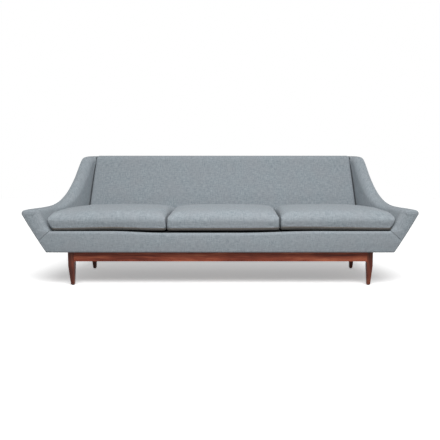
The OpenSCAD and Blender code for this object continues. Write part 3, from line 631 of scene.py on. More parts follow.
arm = {
    "faceSteps": 54, "arcSteps": 12, "topSteps": 10, "stationStep": 6.0,
    "noseOuter": 9.0, "noseTop": 16.0, "noseInner": 42.0, "noseLow": 10.0, "noseFrom": 122, "noseTo": 160,
    "topCrown": 1.6, "pillow": 2.2, "ripple": 0.9, "grooveWidth": 7.0, "grooveDepth": 2.4,
}


# The rounding of the arm's front inner edge: small where it meets the border, large above.
def innerNose(z):
    return between(arm["noseLow"], arm["noseInner"], fade(arm["noseFrom"], arm["noseTo"], z - under))


# One section round the ring, each point as (x, height, inward x, inward height, nose radius).
def armSection(d):
    outA, inA = outAngle(d), inAngle(d)
    out, inner = outRoll(d), inRoll(d)
    ro, ri = shell["outerRoll"], shell["innerRoll"]
    k = squeeze(d)
    ring = []
    first = (out[0] + ro * sin(outA), out[1] - ro * cos(outA))
    for j in range(arm["faceSteps"]):
        t = j / arm["faceSteps"]
        p = (footX + (first[0] - footX) * t, first[1] * t)
        z = under + p[1] / k
        ring.append((p[0] + sag(d, z), p[1], -sin(outA), cos(outA), arm["noseOuter"]))
    for t in spread(outA - pi / 2, pi / 2, arm["arcSteps"]):
        share = (t - (outA - pi / 2)) / (pi - outA)
        nose = between(arm["noseOuter"], arm["noseTop"], share)
        z = under + (out[1] + ro * sin(t)) / k
        ring.append((
            out[0] + ro * cos(t) + sag(d, z), out[1] + ro * sin(t),
            -cos(t), -sin(t), min(nose, ro - 2),
        ))
    start, stop = (out[0], out[1] + ro), (inner[0], inner[1] + ri)
    for j in range(1, arm["topSteps"]):
        t = j / arm["topSteps"]
        crown = arm["topCrown"] * sin(pi * t)
        x, h = between(start[0], stop[0], t), between(start[1], stop[1], t)
        ring.append((x, h + crown, 0, -1, arm["noseTop"]))
    for t in spread(pi / 2, inA + pi / 2, arm["arcSteps"]):
        share = (t - pi / 2) / max(1e-6, inA)
        nose = between(arm["noseTop"], arm["noseInner"], fade(0, 1, share))
        c, s = cos(t), sin(t)
        ring.append((inner[0] + ri * c, inner[1] + ri * s, -c, -s, nose))
    last = ring[-1]
    for j in range(1, arm["faceSteps"] + 1):
        t = j / arm["faceSteps"]
        h = last[1] * (1 - t)
        nose = innerNose(under + h / k)
        ring.append((between(last[0], footInX(d), t), h, sin(inA), -cos(inA), nose))
    foot = ring[-1]
    for j in range(1, arm["topSteps"]):
        t = j / arm["topSteps"]
        ring.append((between(foot[0], footX, t), 0, 0, 1, 0.0))
    return ring


def armRing(d):
    k = squeeze(d)
    ring = []
    for x, h, inX, inH, nose in armSection(d):
        inset = rounding(nose, d)
        x, h = x + inX * inset, h + inH * inset
        z = under + h / k
        wave = ripple(x * 0.011, d * 0.013, z * 0.011) * arm["ripple"] * fade(0, 60, d)
        ring.append((x - inX * wave, frontY + d, z - inH * wave))
    return ring


mitre = {"low": under + 66, "top": padTop, "bow": 3.0}


# The mitre between the border and the arm, seen from the front: slightly bowed.
def mitreX(z):
    t = (z - mitre["low"]) / (mitre["top"] - mitre["low"])
    low, top = skinOut(0, mitre["low"]), faceIn(0, mitre["top"])
    return between(low, top, t) + mitre["bow"] * sin(pi * limited(t))


# Rough distance from the mitre line, seen from the front.
def mitreGap(x, z):
    return min(hypot(x - mitreX(at), z - at) for at in spread(mitre["low"], mitre["top"], 10))


# The right arm and wing: a skin through its sections, closed by a front face and a rear one.
def armShell(name):
    depths = [0.0, 0.25, 1, 2.2, 4, 6.2, 9, 12.5, 16.5, 21, 26, 30]  # close together at the rounded front
    start, step = depths[-1], arm["stationStep"]
    depths += [start + step * k for k in range(1, int((shell["endDepth"] - start) / step))]
    rings = [armRing(d) for d in depths]
    n = len(rings[0])
    mesh = loftMesh(name, rings, caps=False)
    work = bmesh.new()
    work.from_mesh(mesh)
    first = list(work.verts)
    layer = work.loops.layers.uv["cloth"]
    # the front face: rows from the outer edge to the inner one, slightly pillowed
    faceN, arcN, topN = arm["faceSteps"], arm["arcSteps"], arm["topSteps"]
    side = faceN + arcN + 1  # points from the foot to the top of an arc
    outer = list(range(side))
    topRow = list(range(side, side + topN - 1))
    inner = list(range(2 * side + topN - 2, side + topN - 2, -1))
    bottom = list(range(n - 1, 2 * side + topN - 2, -1))
    rows = []
    for i in range(side):
        a, b = first[outer[i]], first[inner[i]]
        if i == 0:
            rows.append([a] + [first[v] for v in bottom] + [b])
        elif i == side - 1:
            rows.append([a] + [first[v] for v in topRow] + [b])
        else:
            row = [a]
            for j in range(1, topN):
                t = j / topN
                co = a.co.lerp(b.co, t)
                edge = min(t, 1 - t) * (b.co - a.co).length / mm
                x, z = co.x / mm, co.z / mm
                push = -arm["pillow"] * fade(0, 22, edge) * fade(0, 1, (side - 1 - i) / 6)
                near = mitreGap(x, z) / arm["grooveWidth"]
                if near < 1:
                    push += arm["grooveDepth"] * (1 - near) ** 2
                co.y += push * mm
                row.append(work.verts.new(co))
            row.append(b)
            rows.append(row)
    for low, high in zip(rows, rows[1:]):
        for j in range(len(low) - 1):
            face = work.faces.new((low[j], high[j], high[j + 1], low[j + 1]))
            for loop in face.loops:
                loop[layer].uv = (loop.vert.co.x, loop.vert.co.z)
    work.faces.new(first[-n:])  # the rear end, which the cut behind the back takes away
    bmesh.ops.recalc_face_normals(work, faces=work.faces)
    work.to_mesh(mesh)
    work.free()
    return makeObject(name, mesh)


# From the back's own frame (across it, up along it) to (y, z).
def leanPoint(u, v):
    foot = frontY + shell["footDepth"] - backDeep
    return foot + u * leanCos + v * leanSin, under + v * leanCos - u * leanSin


back = {
    "pad": 52, "height": 780, "roll": 40, "rearRoll": 22,
    "lowHalf": footX - 88, "topHalf": shell["wingCrestWidth"] / 2 - 55,
    "edge": 15.0, "crown": 3.5, "gapLow": 8.0, "gapTop": 4.0, "ripple": 0.8,
    "endDrop": 6.0, "endDropReach": 16,  # the roll falls where it is tucked in at the wings
}
backLen = back["roll"] + (back["height"] - under - back["roll"] * (1 - leanSin)) / leanCos


# Half the width of the back, which narrows between the wings.
def backHalf(z):
    low = padTop + clear
    return back["lowHalf"] + (back["topHalf"] - back["lowHalf"]) * (z - low) / (back["height"] - low)


# The notch in the wing that the back is let into.
def backSlotCutter():
    rings = []
    rear = shell["backThick"] + 30
    for v in (-60, backLen * 2):
        ring = []
        for u, sign in ((-clear, -1), (-clear, 1), (rear, 1), (rear, -1)):
            y, z = leanPoint(u, v)
            ring.append((sign * (backHalf(z) + clear), y, z))
        rings.append(ring)
    return lofted("backSlot", rings)


beyond = {"depth": 900, "side": 1300}  # places past the rear and the sides, for the cutters


def behindCutter():
    low, high = leanPoint(shell["backThick"], -400), leanPoint(shell["backThick"], 1600)
    outline = [low, high, (high[0] + beyond["depth"], high[1]), (low[0] + beyond["depth"], low[1])]
    return prism("behindCut", outline, "x", -beyond["side"], beyond["side"])


# The room of the seat's rails under the arm.
def lowCutter():
    front, rear, top = frontY + shell["borderThick"], frontY + beyond["depth"], railTop + clear
    return prism("lowCut", [(front, 0), (rear, 0), (rear, top), (front, top)], "x", 0, beyond["side"])


def borderCutter():
    grow = 0.5
    right = [(footX + sag(0, under), under - 20)]
    right += [(skinOut(0, z) + 6, z) for z in spread(under, mitre["low"], 6)]
    right += [(mitreX(z) + grow * 0.6, z + grow * 0.6) for z in spread(mitre["low"], mitre["top"], 12)]
    right.append((mitreX(mitre["top"]), mitre["top"] + grow))
    left = [(-x, z) for x, z in reversed(right)]
    return prism("borderCut", right + left, "y", frontY - 30, frontY + shell["borderThick"] + clear)


armRight = armShell("armShell_right")
boardNear = shell["panelThick"] + clear
cutAway(armRight, [
    borderCutter(), lowCutter(), behindCutter(), backSlotCutter(),
    slabCutter("outsideCut", -30, shell["panelThick"] + 0.6, shell["borderThick"] + 2 * clear, 0,
               shell["wrapHeight"]),
    slabCutter("boardCut", boardNear, boardNear + shell["boardThick"], shell["borderThick"], 0,
               shell["crestPad"]),
])
smoothBy(armRight, 32)
dressPair(armRight, "armShell", woolCloth, "wool", "arm_pad_", 0.8)

# The solids' outer face is flatter behind the wing, so their boards are cut back to this twisted one.
boardRight = copySolid("wing_board_right", "wingBoard_right")
cutAway(boardRight, [slabCutter("boardSkin", -60, boardNear, shell["borderThick"], 0, 0)])
smoothBy(boardRight, 30)
dressPair(boardRight, "wingBoard", paleWood["y"], "frame_wood", "wing_board_")
print("arms and wings made:", len(armRight.data.polygons), "faces")


# Outer panels of the arms

# A thin padded panel on a surface(s, t, inset); its edges are rounded over.
def roundedPatch(name, surface, across, up, thick, edge, puff=0.0):
    def pushed(s, t, size):
        nearest = min(min(s, 1 - s) * size[0], min(t, 1 - t) * size[1])
        return min(edge, thick - 0.6) * rounding(1.0, nearest / edge)

    def stations(count, size):
        inner = spread(edge / size, 1 - edge / size, count)
        rim = [0, 0.03, 0.12, 0.28, 0.55]
        return [r * edge / size for r in rim] + inner + [1 - r * edge / size for r in reversed(rim)]

    a, b, c = surface(0, 0.5, 0), surface(1, 0.5, 0), surface(0.5, 0, 0)
    size = (gap(a, b), gap(c, surface(0.5, 1, 0)))
    ss, ts = stations(across, size[0]), stations(up, size[1])
    points, faces = [], []
    n = len(ss)
    for t in ts:
        for s in ss:
            bulge = puff * sin(pi * s) * sin(pi * t)
            points.append(surface(s, t, pushed(s, t, size) - bulge))
    rear = len(points)
    points += [surface(s, t, thick) for t in ts for s in ss]
    for j in range(len(ts) - 1):
        for i in range(n - 1):
            k = j * n + i
            faces.append((k, k + 1, k + n + 1, k + n))
            faces.append((rear + k, rear + k + n, rear + k + n + 1, rear + k + 1))
    for i in range(n - 1):
        top = (len(ts) - 1) * n
        faces.append((i, rear + i, rear + i + 1, i + 1))
        faces.append((top + i, top + i + 1, rear + top + i + 1, rear + top + i))
    for j in range(len(ts) - 1):
        first, last = j * n, j * n + n - 1
        faces.append((first, first + n, rear + first + n, rear + first))
        faces.append((last, rear + last, rear + last + n, last + n))
    flat = [(s * size[0], t * size[1]) for t in ts for s in ss] * 2
    cloth = [tuple(flat[v] for v in face) for face in faces]
    return closedObject(name, meshFrom(name, points, faces, cloth), 50)


# The depth is found step by step, since the panel's top and rear both depend on it.
def armPanelSurface(s, t, inset):
    front = shell["borderThick"] + 2 * clear
    d = front + s * 600
    for _ in range(8):
        top = crestZ(d) - (shell["wrapHeight"] + clear) / squeeze(d)
        z = under + (top - under) * t
        d = front + s * (rearDepth(z) - clear / leanCos - front)
    return faceOut(d, z) + sag(d, z) * 0.7 - inset, frontY + d, z


panelRight = roundedPatch("armPanel_right", armPanelSurface, 90, 44, shell["panelThick"], 5.0, 1.2)
dressPair(panelRight, "armPanel", woolCloth, "wool", "arm_outer_panel_", 0.9)


def backPanelSurface(s, t, inset):
    z = under + (shell["wingHeight"] - shell["outerRoll"] - under) * t
    half = faceOut(rearDepth(z), z) - 0.3
    return (1 - 2 * s) * half, frontY + rearDepth(z) - inset * leanCos, z + inset * leanSin


backPanel = roundedPatch("backPanel", backPanelSurface, 200, 60, shell["panelThick"], 4.5, 1.5)
dress(backPanel, woolCloth, "sofa", "wool", "back_outer_panel", fill=0.9)
print("outer panels made")


# Front border

border = {
    "topRoll": 16, "lowRoll": 8, "endNose": 9.0,
    "puff": 2.4, "ripple": 0.7, "grooveWidth": 6.0, "grooveDepth": 2.4,
    "topFall": 5.0, "dip": 10.0,  # the top falls to the rear, and is pressed down where people sit
}


# How far the seat's front is pressed down at x
def seatDip(x):
    return border["dip"] * fade(-640, -350, x) * (1 - fade(120, 560, x))


# The section as (depth, height), from the rear foot forward, up and over to the rear.
def borderSection():
    h, t, low, top = shell["borderHeight"], shell["borderThick"], border["lowRoll"], border["topRoll"]
    points = line((t, 0.0), (low, 0.0), 6)
    points += [(low - low * sin(a), low - low * cos(a)) for a in spread(0, pi / 2, 7)]
    points += line((0.0, low), (0.0, h - top), 24)[1:]
    points += [(top - top * cos(a), h - top + top * sin(a)) for a in spread(0, pi / 2, 12)]
    points += [(top + (t - top) * k / 6, h - border["topFall"] * (k / 6) ** 2) for k in range(1, 6)]
    return points + line((t, h - border["topFall"]), (t, 0.0), 16)


# Half the border's width: the outer face below the mitre, the mitre above.
def borderEnd(z):
    return skinOut(0, z) if z <= mitre["low"] else mitreX(z) - 0.2


def borderRing(s):
    ring = []
    tall = shell["borderHeight"]
    for d, h in borderSection():
        z = under + h
        half = borderEnd(z)
        x = s * half
        toEnd = half - abs(x)
        front = 1 - d / shell["borderThick"]
        middle = sin(pi * limited((h - 4) / (tall - 8)))
        push = -border["puff"] * middle * front * fade(0, 40, toEnd)
        if z <= mitre["low"]:
            push += front * rounding(border["endNose"], toEnd)
        elif toEnd < 2 * border["grooveWidth"]:
            push += border["grooveDepth"] * front * (1 - toEnd / (2 * border["grooveWidth"])) ** 2
        wave = border["ripple"] * ripple(x * 0.012, h * 0.02, 3.7) * front * fade(0, 30, toEnd)
        ring.append((x, frontY + d + push + wave, z - seatDip(x) * fade(30, tall, h)))
    return ring


# Stations from -1 to 1 that crowd towards the ends.
def endSpread(count):
    inner = [-1 + 2 * k / count for k in range(1, count)]
    crowd = [1 - r / 1000 for r in (0, 0.5, 1.5, 3, 5, 7)]
    return sorted(set([-c for c in crowd] + crowd + [s for s in inner if abs(s) < 0.992]))


frontBorder = lofted("frontBorder", [borderRing(s) for s in endSpread(240)], 50, level=True)
dress(frontBorder, woolCloth, "sofa", "wool", "front_border_pad", fill=0.85)
print("front border made")


# Back

# The section as (across, up) in the back's own frame.
def backSection():
    r, rear, length = back["roll"], back["rearRoll"], backLen
    deep = shell["backThick"] - shell["panelThick"] - clear
    foot = shell["railHeight"] / leanCos + 2
    crest, quarter = length - shell["crestPad"], pi / 2
    points = line((0.0, foot), (0.0, length - r), 60)
    points += [(r - r * cos(a), length - r + r * sin(a)) for a in spread(0, quarter, 16)]
    points += line((r, length), (deep - rear, length), 6)[1:]
    points += [(deep - rear + rear * sin(a), length - rear + rear * cos(a))
               for a in spread(0, quarter, 8)]
    points += line((deep, crest), (back["pad"], crest), 6)
    points += line((back["pad"], crest), (back["pad"], foot), 30)
    return points + line((back["pad"], foot), (0.0, foot), 6)


def backRing(s):
    ring = []
    for u, v in backSection():
        y, z = leanPoint(u, v)
        gapHere = between(back["gapLow"], back["gapTop"], min(1.0, v / backLen))
        half = backHalf(z) - gapHere
        x = s * half
        toEnd = half - abs(x)
        front = max(0.0, 1 - u / back["pad"])
        push = front * rounding(back["edge"], toEnd)
        up = fade(250, 330, v) * fade(0, 50, backLen - v)
        push -= back["crown"] * up * front * fade(0, 160, toEnd)
        push += back["ripple"] * ripple(x * 0.006, v * 0.008, 1.3) * front * fade(0, 60, toEnd)
        rollAt = v - (backLen - back["roll"])
        onFrame = u > back["pad"] + 1 and v < backLen - shell["crestPad"] + 1
        drop = 0.0
        if rollAt > 0 and toEnd < back["endDropReach"] and not onFrame:
            drop = back["endDrop"] * (1 - toEnd / back["endDropReach"]) ** 2 * min(1.0, rollAt / back["roll"])
        ring.append((x, *leanPoint(u + push, v - drop)))
    return ring


backPad = lofted("backPad", [backRing(s) for s in endSpread(240)], 50, level=True)
dress(backPad, backCloth, "sofa", "wool", "back_pad", fill=0.8)
print("back made")


# Cushions, drawn on plans that lean out along the arms
cushion = {
    "middleWidth": 671, "gap": 2, "shift": 18, "leftGap": 14, "setBack": 6,
    "cornerRadius": 15, "topCornerRadius": 38,
    "leanFrom": 15, "leanHeight": 54,  # heights between which the outer side leans out
    "edgeHeight": 112, "sideRoll": 30, "sideHeight": 34, "frontRoll": 50, "frontHeight": 52,
    "crown": 13, "crownPower": 2.4, "cornerDrop": 19,
    "bandHeight": 16, "bandDepth": 18, "bandSide": 12,  # the lining's strip under the low seam
    "seamTop": 4.5,  # the side is plain from here, above the low seam
    "tuck": 8,  # how far the low seam lies back under the front
    "restDepth": 66,  # the front edge stands up off the deck as far as this
    "dipShare": 0.8,  # how much of the seat's dip the front edge follows
    "skew": 4,  # how far the gap on the right turns in to the rear
    "inset": 1.8,  # room for the swelling
    "seamDip": 3.4, "puckerPitch": 21.0, "puckerDepth": 0.8, "puckerReach": 16.0,
    "perSide": 100, "perCorner": 8,
}
swelling = {
    "voxel": 0.012, "frames": 20,
    "cap": 6.0,  # no point moves further than this
    "across": 0.6,  # the share of a move that is kept when it goes sideways
    "cloth": {
        "quality": 6, "mass": 0.3, "tension_stiffness": 15, "compression_stiffness": 15,
        "shear_stiffness": 5, "bending_stiffness": 0.5, "use_pressure": True,
        "uniform_pressure_force": 4.0, "shrink_min": -0.025,
    },
}
cushionZ = padTop + clear
cushionFront = cushion["setBack"]
cushionRear = shell["footDepth"] - backDeep + (cushionZ - under) * leanTan - cushion["gap"]
leanFrom, leanTo = cushionZ + cushion["leanFrom"], cushionZ + cushion["leanHeight"]


# [front left x, front right x, rear right x, rear left x] of a cushion beside an arm
def armPlan(inner, clearance, z, skew=0):
    return [inner, faceIn(cushionFront, z) - clearance, faceIn(cushionRear, z) - clearance, inner - skew]


innerX = (cushion["middleWidth"] + cushion["gap"]) / 2
shift, space = cushion["shift"], cushion["gap"]
middleEven = [shift - innerX + space, shift + innerX - space,
              shift + innerX - space - cushion["skew"], shift - innerX + space]
leanHeights = (leanFrom, leanTo)  # a plan is given at both, and lies between the two in between
leftDrawn = [armPlan(innerX - shift, cushion["leftGap"], z) for z in leanHeights]
cushionPlans = {
    "left": [[-p[1], -p[0], -p[3], -p[2]] for p in leftDrawn],
    "middle": [middleEven, middleEven],
    "right": [armPlan(innerX + shift, space, z, cushion["skew"]) for z in leanHeights],
}
# how far the front edge stands up at its left corner, middle and right corner, and how far forward it lies
frontEdges = {"left": (3, 10, 10), "middle": (11, 12, 12), "right": (14, 10, 5)}
forward = {"left": 0, "middle": 7, "right": 0}


def planAt(plans, z):
    t = limited((z - leanFrom) / (leanTo - leanFrom))
    return [between(a, b, t) for a, b in zip(*plans)]


# The middle of a plan, and half its size across and along.
def planCentre(plan):
    return Vector((sum(plan) / 4, (cushionFront + cushionRear) / 2))


def planHalf(plan):
    return Vector(((plan[1] + plan[2] - plan[0] - plan[3]) / 4, (cushionRear - cushionFront) / 2))


# Points round a plan, each with its outward direction
def planOutline(plan, radius, perSide, perCorner):
    corners = [
        Vector((plan[0], cushionFront)), Vector((plan[1], cushionFront)),
        Vector((plan[2], cushionRear)), Vector((plan[3], cushionRear)),
    ]
    arcs = []
    for k in range(4):
        p, before, after = corners[k], corners[k - 1], corners[(k + 1) % 4]
        a, b = (before - p).normalized(), (after - p).normalized()
        half = acos(limited(a.dot(b), -1)) / 2
        centre = p + (a + b).normalized() * radius / sin(half)
        start, stop = p + a * radius / tan(half), p + b * radius / tan(half)
        a0 = atan2(start.y - centre.y, start.x - centre.x)
        a1 = atan2(stop.y - centre.y, stop.x - centre.x)
        while a1 < a0:
            a1 += 2 * pi
        ways = [Vector((cos(t), sin(t))) for t in spread(a0, a1, perCorner)]
        arcs.append([(centre + way * radius, way) for way in ways])
    ring = []
    for k in range(4):
        ring += arcs[k]
        stop, following = arcs[k][-1], arcs[(k + 1) % 4][0]
        for j in range(1, perSide):
            t = j / perSide
            ring.append((stop[0].lerp(following[0], t), stop[1].lerp(following[1], t).normalized()))
    return ring


# How far the cushion's front edge stands up off the flat deck at a place
def frontLift(x, depth, sideName):
    plan = cushionPlans[sideName][0]
    across = limited((x - planCentre(plan).x) / planHalf(plan).x, -1.0)
    left, middle, right = frontEdges[sideName]
    side = left if across < 0 else right
    edge = between(middle, side, fade(0, 1, abs(across))) - cushion["dipShare"] * seatDip(x)
    return edge * (1 - fade(0, cushion["restDepth"], depth))


# How far the arm lies beyond the straight side of a plan: it curves, and its front edge is rounded
def armRoom(depth, z):
    t = (depth - cushionFront) / (cushionRear - cushionFront)
    z = limited(z, leanFrom, leanTo)
    straight = between(faceIn(cushionFront, z), faceIn(cushionRear, z), t)
    d = max(0.0, depth)
    return faceIn(d, z) - straight + 0.85 * rounding(innerNose(z), d) * sin(inAngle(d))


# Moves a point of an end cushion out along the arm, most at the arm's side
def followArm(x, depth, z, sideName, plan):
    if sideName == "middle":
        return x
    t = (depth - cushionFront) / (cushionRear - cushionFront)
    left, right = between(plan[0], plan[3], t), between(plan[1], plan[2], t)
    inner, outer = (right, left) if sideName == "left" else (left, right)
    share = limited((x - inner) / (outer - inner))
    return x + copysign(armRoom(depth, z) * share * share, outer)


# Each level: inset at the sides, inset at the front and rear, height, share of the lift, corner fall,
# and (inset, distance) on the lining and on the wool
def cushionLevels(shortHalf):
    quarter = pi / 2
    band, deep, deepSide = cushion["bandHeight"], cushion["bandDepth"] + cushion["tuck"], cushion["bandSide"]
    roll, long, tall = cushion["sideRoll"], cushion["frontRoll"], cushion["frontHeight"]
    edge, drop, tuck = cushion["edgeHeight"], cushion["cornerDrop"], cushion["tuck"]
    rollLength, bandLength = (roll + tall) / 2 * quarter, (band + deepSide) / 2 * quarter
    seamAt = rollLength + edge - tall - band
    levels = []
    for share in (0.04, 0.12, 0.24, 0.38, 0.52, 0.66, 0.78, 0.87, 0.93, 0.97):
        inset = deepSide + (shortHalf - deepSide) * (1 - share)
        levels.append((inset, deep + (shortHalf - deep) * (1 - share), 0, 1, 0, (inset, 0), None))
    for t in spread(0, quarter, 7):
        back = 1 - sin(t)
        levels.append((deepSide * back, tuck + (deep - tuck) * back, band * (1 - cos(t)), 1, 0,
                       (deepSide, bandLength * t / quarter), (roll, seamAt)))
    dip = cushion["seamDip"]
    levels.append((dip, tuck + dip, band + 1.2, 1, 0, None, (roll, seamAt - 1.2)))
    levels.append((dip * 0.3, tuck + dip * 0.3, band + 2.6, 1, 0, None, (roll, seamAt - 2.6)))
    low, high = band + cushion["seamTop"], edge - tall
    for k in range(9):
        t = k / 9
        levels.append((0, tuck * (1 - t) ** 1.7, low + (high - low) * t, 1 - t, 0, None,
                       (roll, rollLength + (high - low) * (1 - t))))
    for t in spread(0, quarter, 12):
        inward, up = 1 - cos(t), sin(t)
        levels.append((roll * inward, long * inward, edge - tall * (1 - up), 0, drop * up, None,
                       (roll, rollLength * (1 - t / quarter))))
    for share in spread(1, 0.03, 24)[1:]:
        inset = roll + (shortHalf - roll) * (1 - share)
        height = edge + cushion["crown"] * (1 - share ** cushion["crownPower"])
        levels.append((inset, long + (shortHalf - long) * (1 - share), height, 0, drop, None, (inset, 0)))
    return levels


# The sides keep their upright part higher than the front does
def sideRise(height):
    edge, tall = cushion["edgeHeight"], cushion["frontHeight"]
    low = cushion["bandHeight"] + cushion["seamTop"]
    if not low < height < edge:
        return 0.0
    if height <= edge - tall:
        return (height - low) * (tall - cushion["sideHeight"]) / (edge - tall - low)
    return (edge - height) * (1 - cushion["sideHeight"] / tall)


seamLevel = 17  # the level that carries the low seam


# Rings from the middle of the underside out, up the sides and in over the crown
def cushionMesh(name, sideName):
    plans = cushionPlans[sideName]
    levels = cushionLevels(min(planHalf(plans[1])))
    points, marks = [], []  # marks keep what each point's place on the cloth needs
    for inset, deeper, height, lift, fall, _, _ in levels:
        plan = planAt(plans, cushionZ + height)
        mid, half = planCentre(plan), planHalf(plan)
        low, high = cushion["cornerRadius"], cushion["topCornerRadius"]
        radius = between(low, high, fade(30, cushion["edgeHeight"], height))
        outline = planOutline(plan, radius, cushion["perSide"], cushion["perCorner"])
        sx = 1 - (inset + cushion["inset"]) / half.x
        sy = 1 - (deeper + cushion["inset"]) / half.y
        for p, way in outline:
            q = p - mid
            across, along = min(1.0, (q.x / half.x) ** 2), min(1.0, (q.y / half.y) ** 2)
            x, y = mid.x + q.x * sx, mid.y + q.y * sy
            x = followArm(x, y, cushionZ + height, sideName, plan)
            raised = lift * frontLift(x, y - cushionFront, sideName) if lift else 0.0
            dip = fall * across * along * (sx * sy) ** 2
            y -= forward[sideName] * (1 - fade(0, 200, y - cushionFront))
            rise = sideRise(height) * way.x ** 2
            points.append((x, frontY + y, cushionZ + height + rise + raised - dip))
            marks.append((mid, half, q, way))
    n = len(outline)

    def onCloth(row, j, way, side):
        mid, half, q, _ = marks[row * n + j]
        inset, distance = levels[row][side]
        return (mid.x + q.x * (1 - inset / half.x) + way.x * distance,
                mid.y + q.y * (1 - inset / half.y) + way.y * distance)

    faces, cloth = [], []
    for corners in ringCorners(len(levels), n):
        faces.append(tuple(r * n + c % n for r, c in corners))
        mean = marks[faces[-1][0]][3] + marks[faces[-1][1]][3]
        way = Vector((0, copysign(1, mean.y)))
        if abs(mean.x) > abs(mean.y):
            way = Vector((copysign(1, mean.x), 0))
        side = 5 if corners[0][0] < seamLevel else 6  # a level's place on the lining, or on the wool
        cloth.append(tuple(onCloth(r, c % n, way, side) for r, c in corners))
    for row, order in ((0, -1), (len(levels) - 1, 1)):
        mid = marks[row * n][0]
        z = cushionZ if row == 0 else cushionZ + cushion["edgeHeight"] + cushion["crown"]
        points.append((mid.x, frontY + mid.y, z))
        faces += fan(len(points) - 1, row * n, n, order)
        cloth += [tuple((points[v][0], points[v][1] - frontY) for v in face) for face in faces[-n:]]
    mesh = meshFrom(name, points, faces, cloth)
    for material in (cushionCloth, liningCloth):
        mesh.materials.append(material)
    lined = seamLevel * n  # faces below the low seam, and the fan in the middle of the underside
    ringFaces = (len(levels) - 1) * n
    for face in mesh.polygons:
        if face.index < lined or ringFaces <= face.index < ringFaces + n:
            face.material_index = 1
    return mesh


# Swells a coarse copy as cloth, then moves the piece's own points as the copy moved
def swell(obj, holds):
    coarse = makeObject("swellingCopy", obj.data.copy())
    step = coarse.modifiers.new("even", "REMESH")
    step.mode, step.voxel_size = "VOXEL", swelling["voxel"]
    applyModifiers(coarse)
    start = [v.co.copy() for v in coarse.data.vertices]
    kept = coarse.vertex_groups.new(name="kept")
    kept.add([k for k, co in enumerate(start) if holds(co)], 1.0, "REPLACE")
    step = coarse.modifiers.new("cloth", "CLOTH")
    for key, value in swelling["cloth"].items():
        setattr(step.settings, key, value)
    step.settings.effector_weights.gravity = 0
    step.settings.vertex_group_mass = kept.name
    step.point_cache.frame_start, step.point_cache.frame_end = 1, swelling["frames"]
    for number in range(1, swelling["frames"] + 1):
        bpy.context.scene.frame_set(number)
    swollen = coarse.evaluated_get(bpy.context.evaluated_depsgraph_get()).data
    moves = [v.co - co for v, co in zip(swollen.vertices, start)]
    polygons = [tuple(p.vertices) for p in coarse.data.polygons]
    tree = BVHTree.FromPolygons(start, polygons)
    for v in obj.data.vertices:
        spot, _, index, _ = tree.find_nearest(v.co)
        corners = polygons[index]
        weights = interpolate.poly_3d_calc([start[c] for c in corners], spot)
        move = sum((moves[c] * w for c, w in zip(corners, weights)), Vector()) / mm
        move = Vector((move.x * swelling["across"], move.y * swelling["across"], move.z))
        if move.length > 0:
            move *= swelling["cap"] * tanh(move.length / swelling["cap"]) / move.length
        v.co += move * mm
    discard(coarse)
    bpy.context.scene.frame_set(1)


zipper = {
    "share": 0.7, "height": 14, "tape": 0.9, "under": 0.7, "pitch": 3.0, "z": cushionZ + 56,
    "teethFrom": 8, "sliderFrom": 14,  # how far the teeth and the slider lie from an end
    "holdRear": 12, "holdHeight": 16,  # the cover round the zip that the swelling leaves in place
}


# A cover with its swelling, and its puckers at the low seam
def makeCushion(sideName):
    name = "cushion_" + sideName + "_cover"
    made = closedObject(name, cushionMesh(name, sideName))
    plan = planAt(cushionPlans[sideName], zipper["z"])
    mid, zipHalf = planCentre(plan).x, planHalf(plan).x * zipper["share"]

    def holds(co):
        x, depth, z = co.x / mm, co.y / mm - frontY, co.z / mm
        atSeam = z < cushionZ + cushion["bandHeight"] + 3 + frontLift(x, depth - cushionFront, sideName)
        atRear = depth > cushionRear - zipper["holdRear"]
        atHeight = abs(z - zipper["z"]) < zipper["holdHeight"]
        return atSeam or (atRear and atHeight and abs(x - mid) < zipHalf + zipper["holdRear"])

    swell(made, holds)
    # small puckers where the wool is gathered into the low seam
    normals = [v.normal.copy() for v in made.data.vertices]
    for v, normal in zip(made.data.vertices, normals):
        x, depth, z = v.co.x / mm, v.co.y / mm - frontY, v.co.z / mm
        seam = cushionZ + cushion["bandHeight"] + frontLift(x, depth - cushionFront, sideName)
        above = z - seam
        if 0 < above < cushion["puckerReach"]:
            where = (x if abs(normal.y) > abs(normal.x) else depth) / cushion["puckerPitch"]
            wave = ripple(where, 7.0 * planHalf(plan).x, above / 30)
            size = 1 - fade(5, cushion["puckerReach"], above)
            if above < 5:
                size = sin(pi * min(1.0, above / 5 / 2))
            v.co -= normal * (cushion["puckerDepth"] * (0.5 + wave) * size * mm)
    smoothBy(made, 60)
    declare(made, "cushion_" + sideName, "wool", "cushion_cover_" + sideName, fill=0.85)


for sideName in cushionPlans:
    makeCushion(sideName)
print("cushions made")

foam = {"inset": 28, "low": 13, "height": 68, "edge": 7.0, "corner": 10}


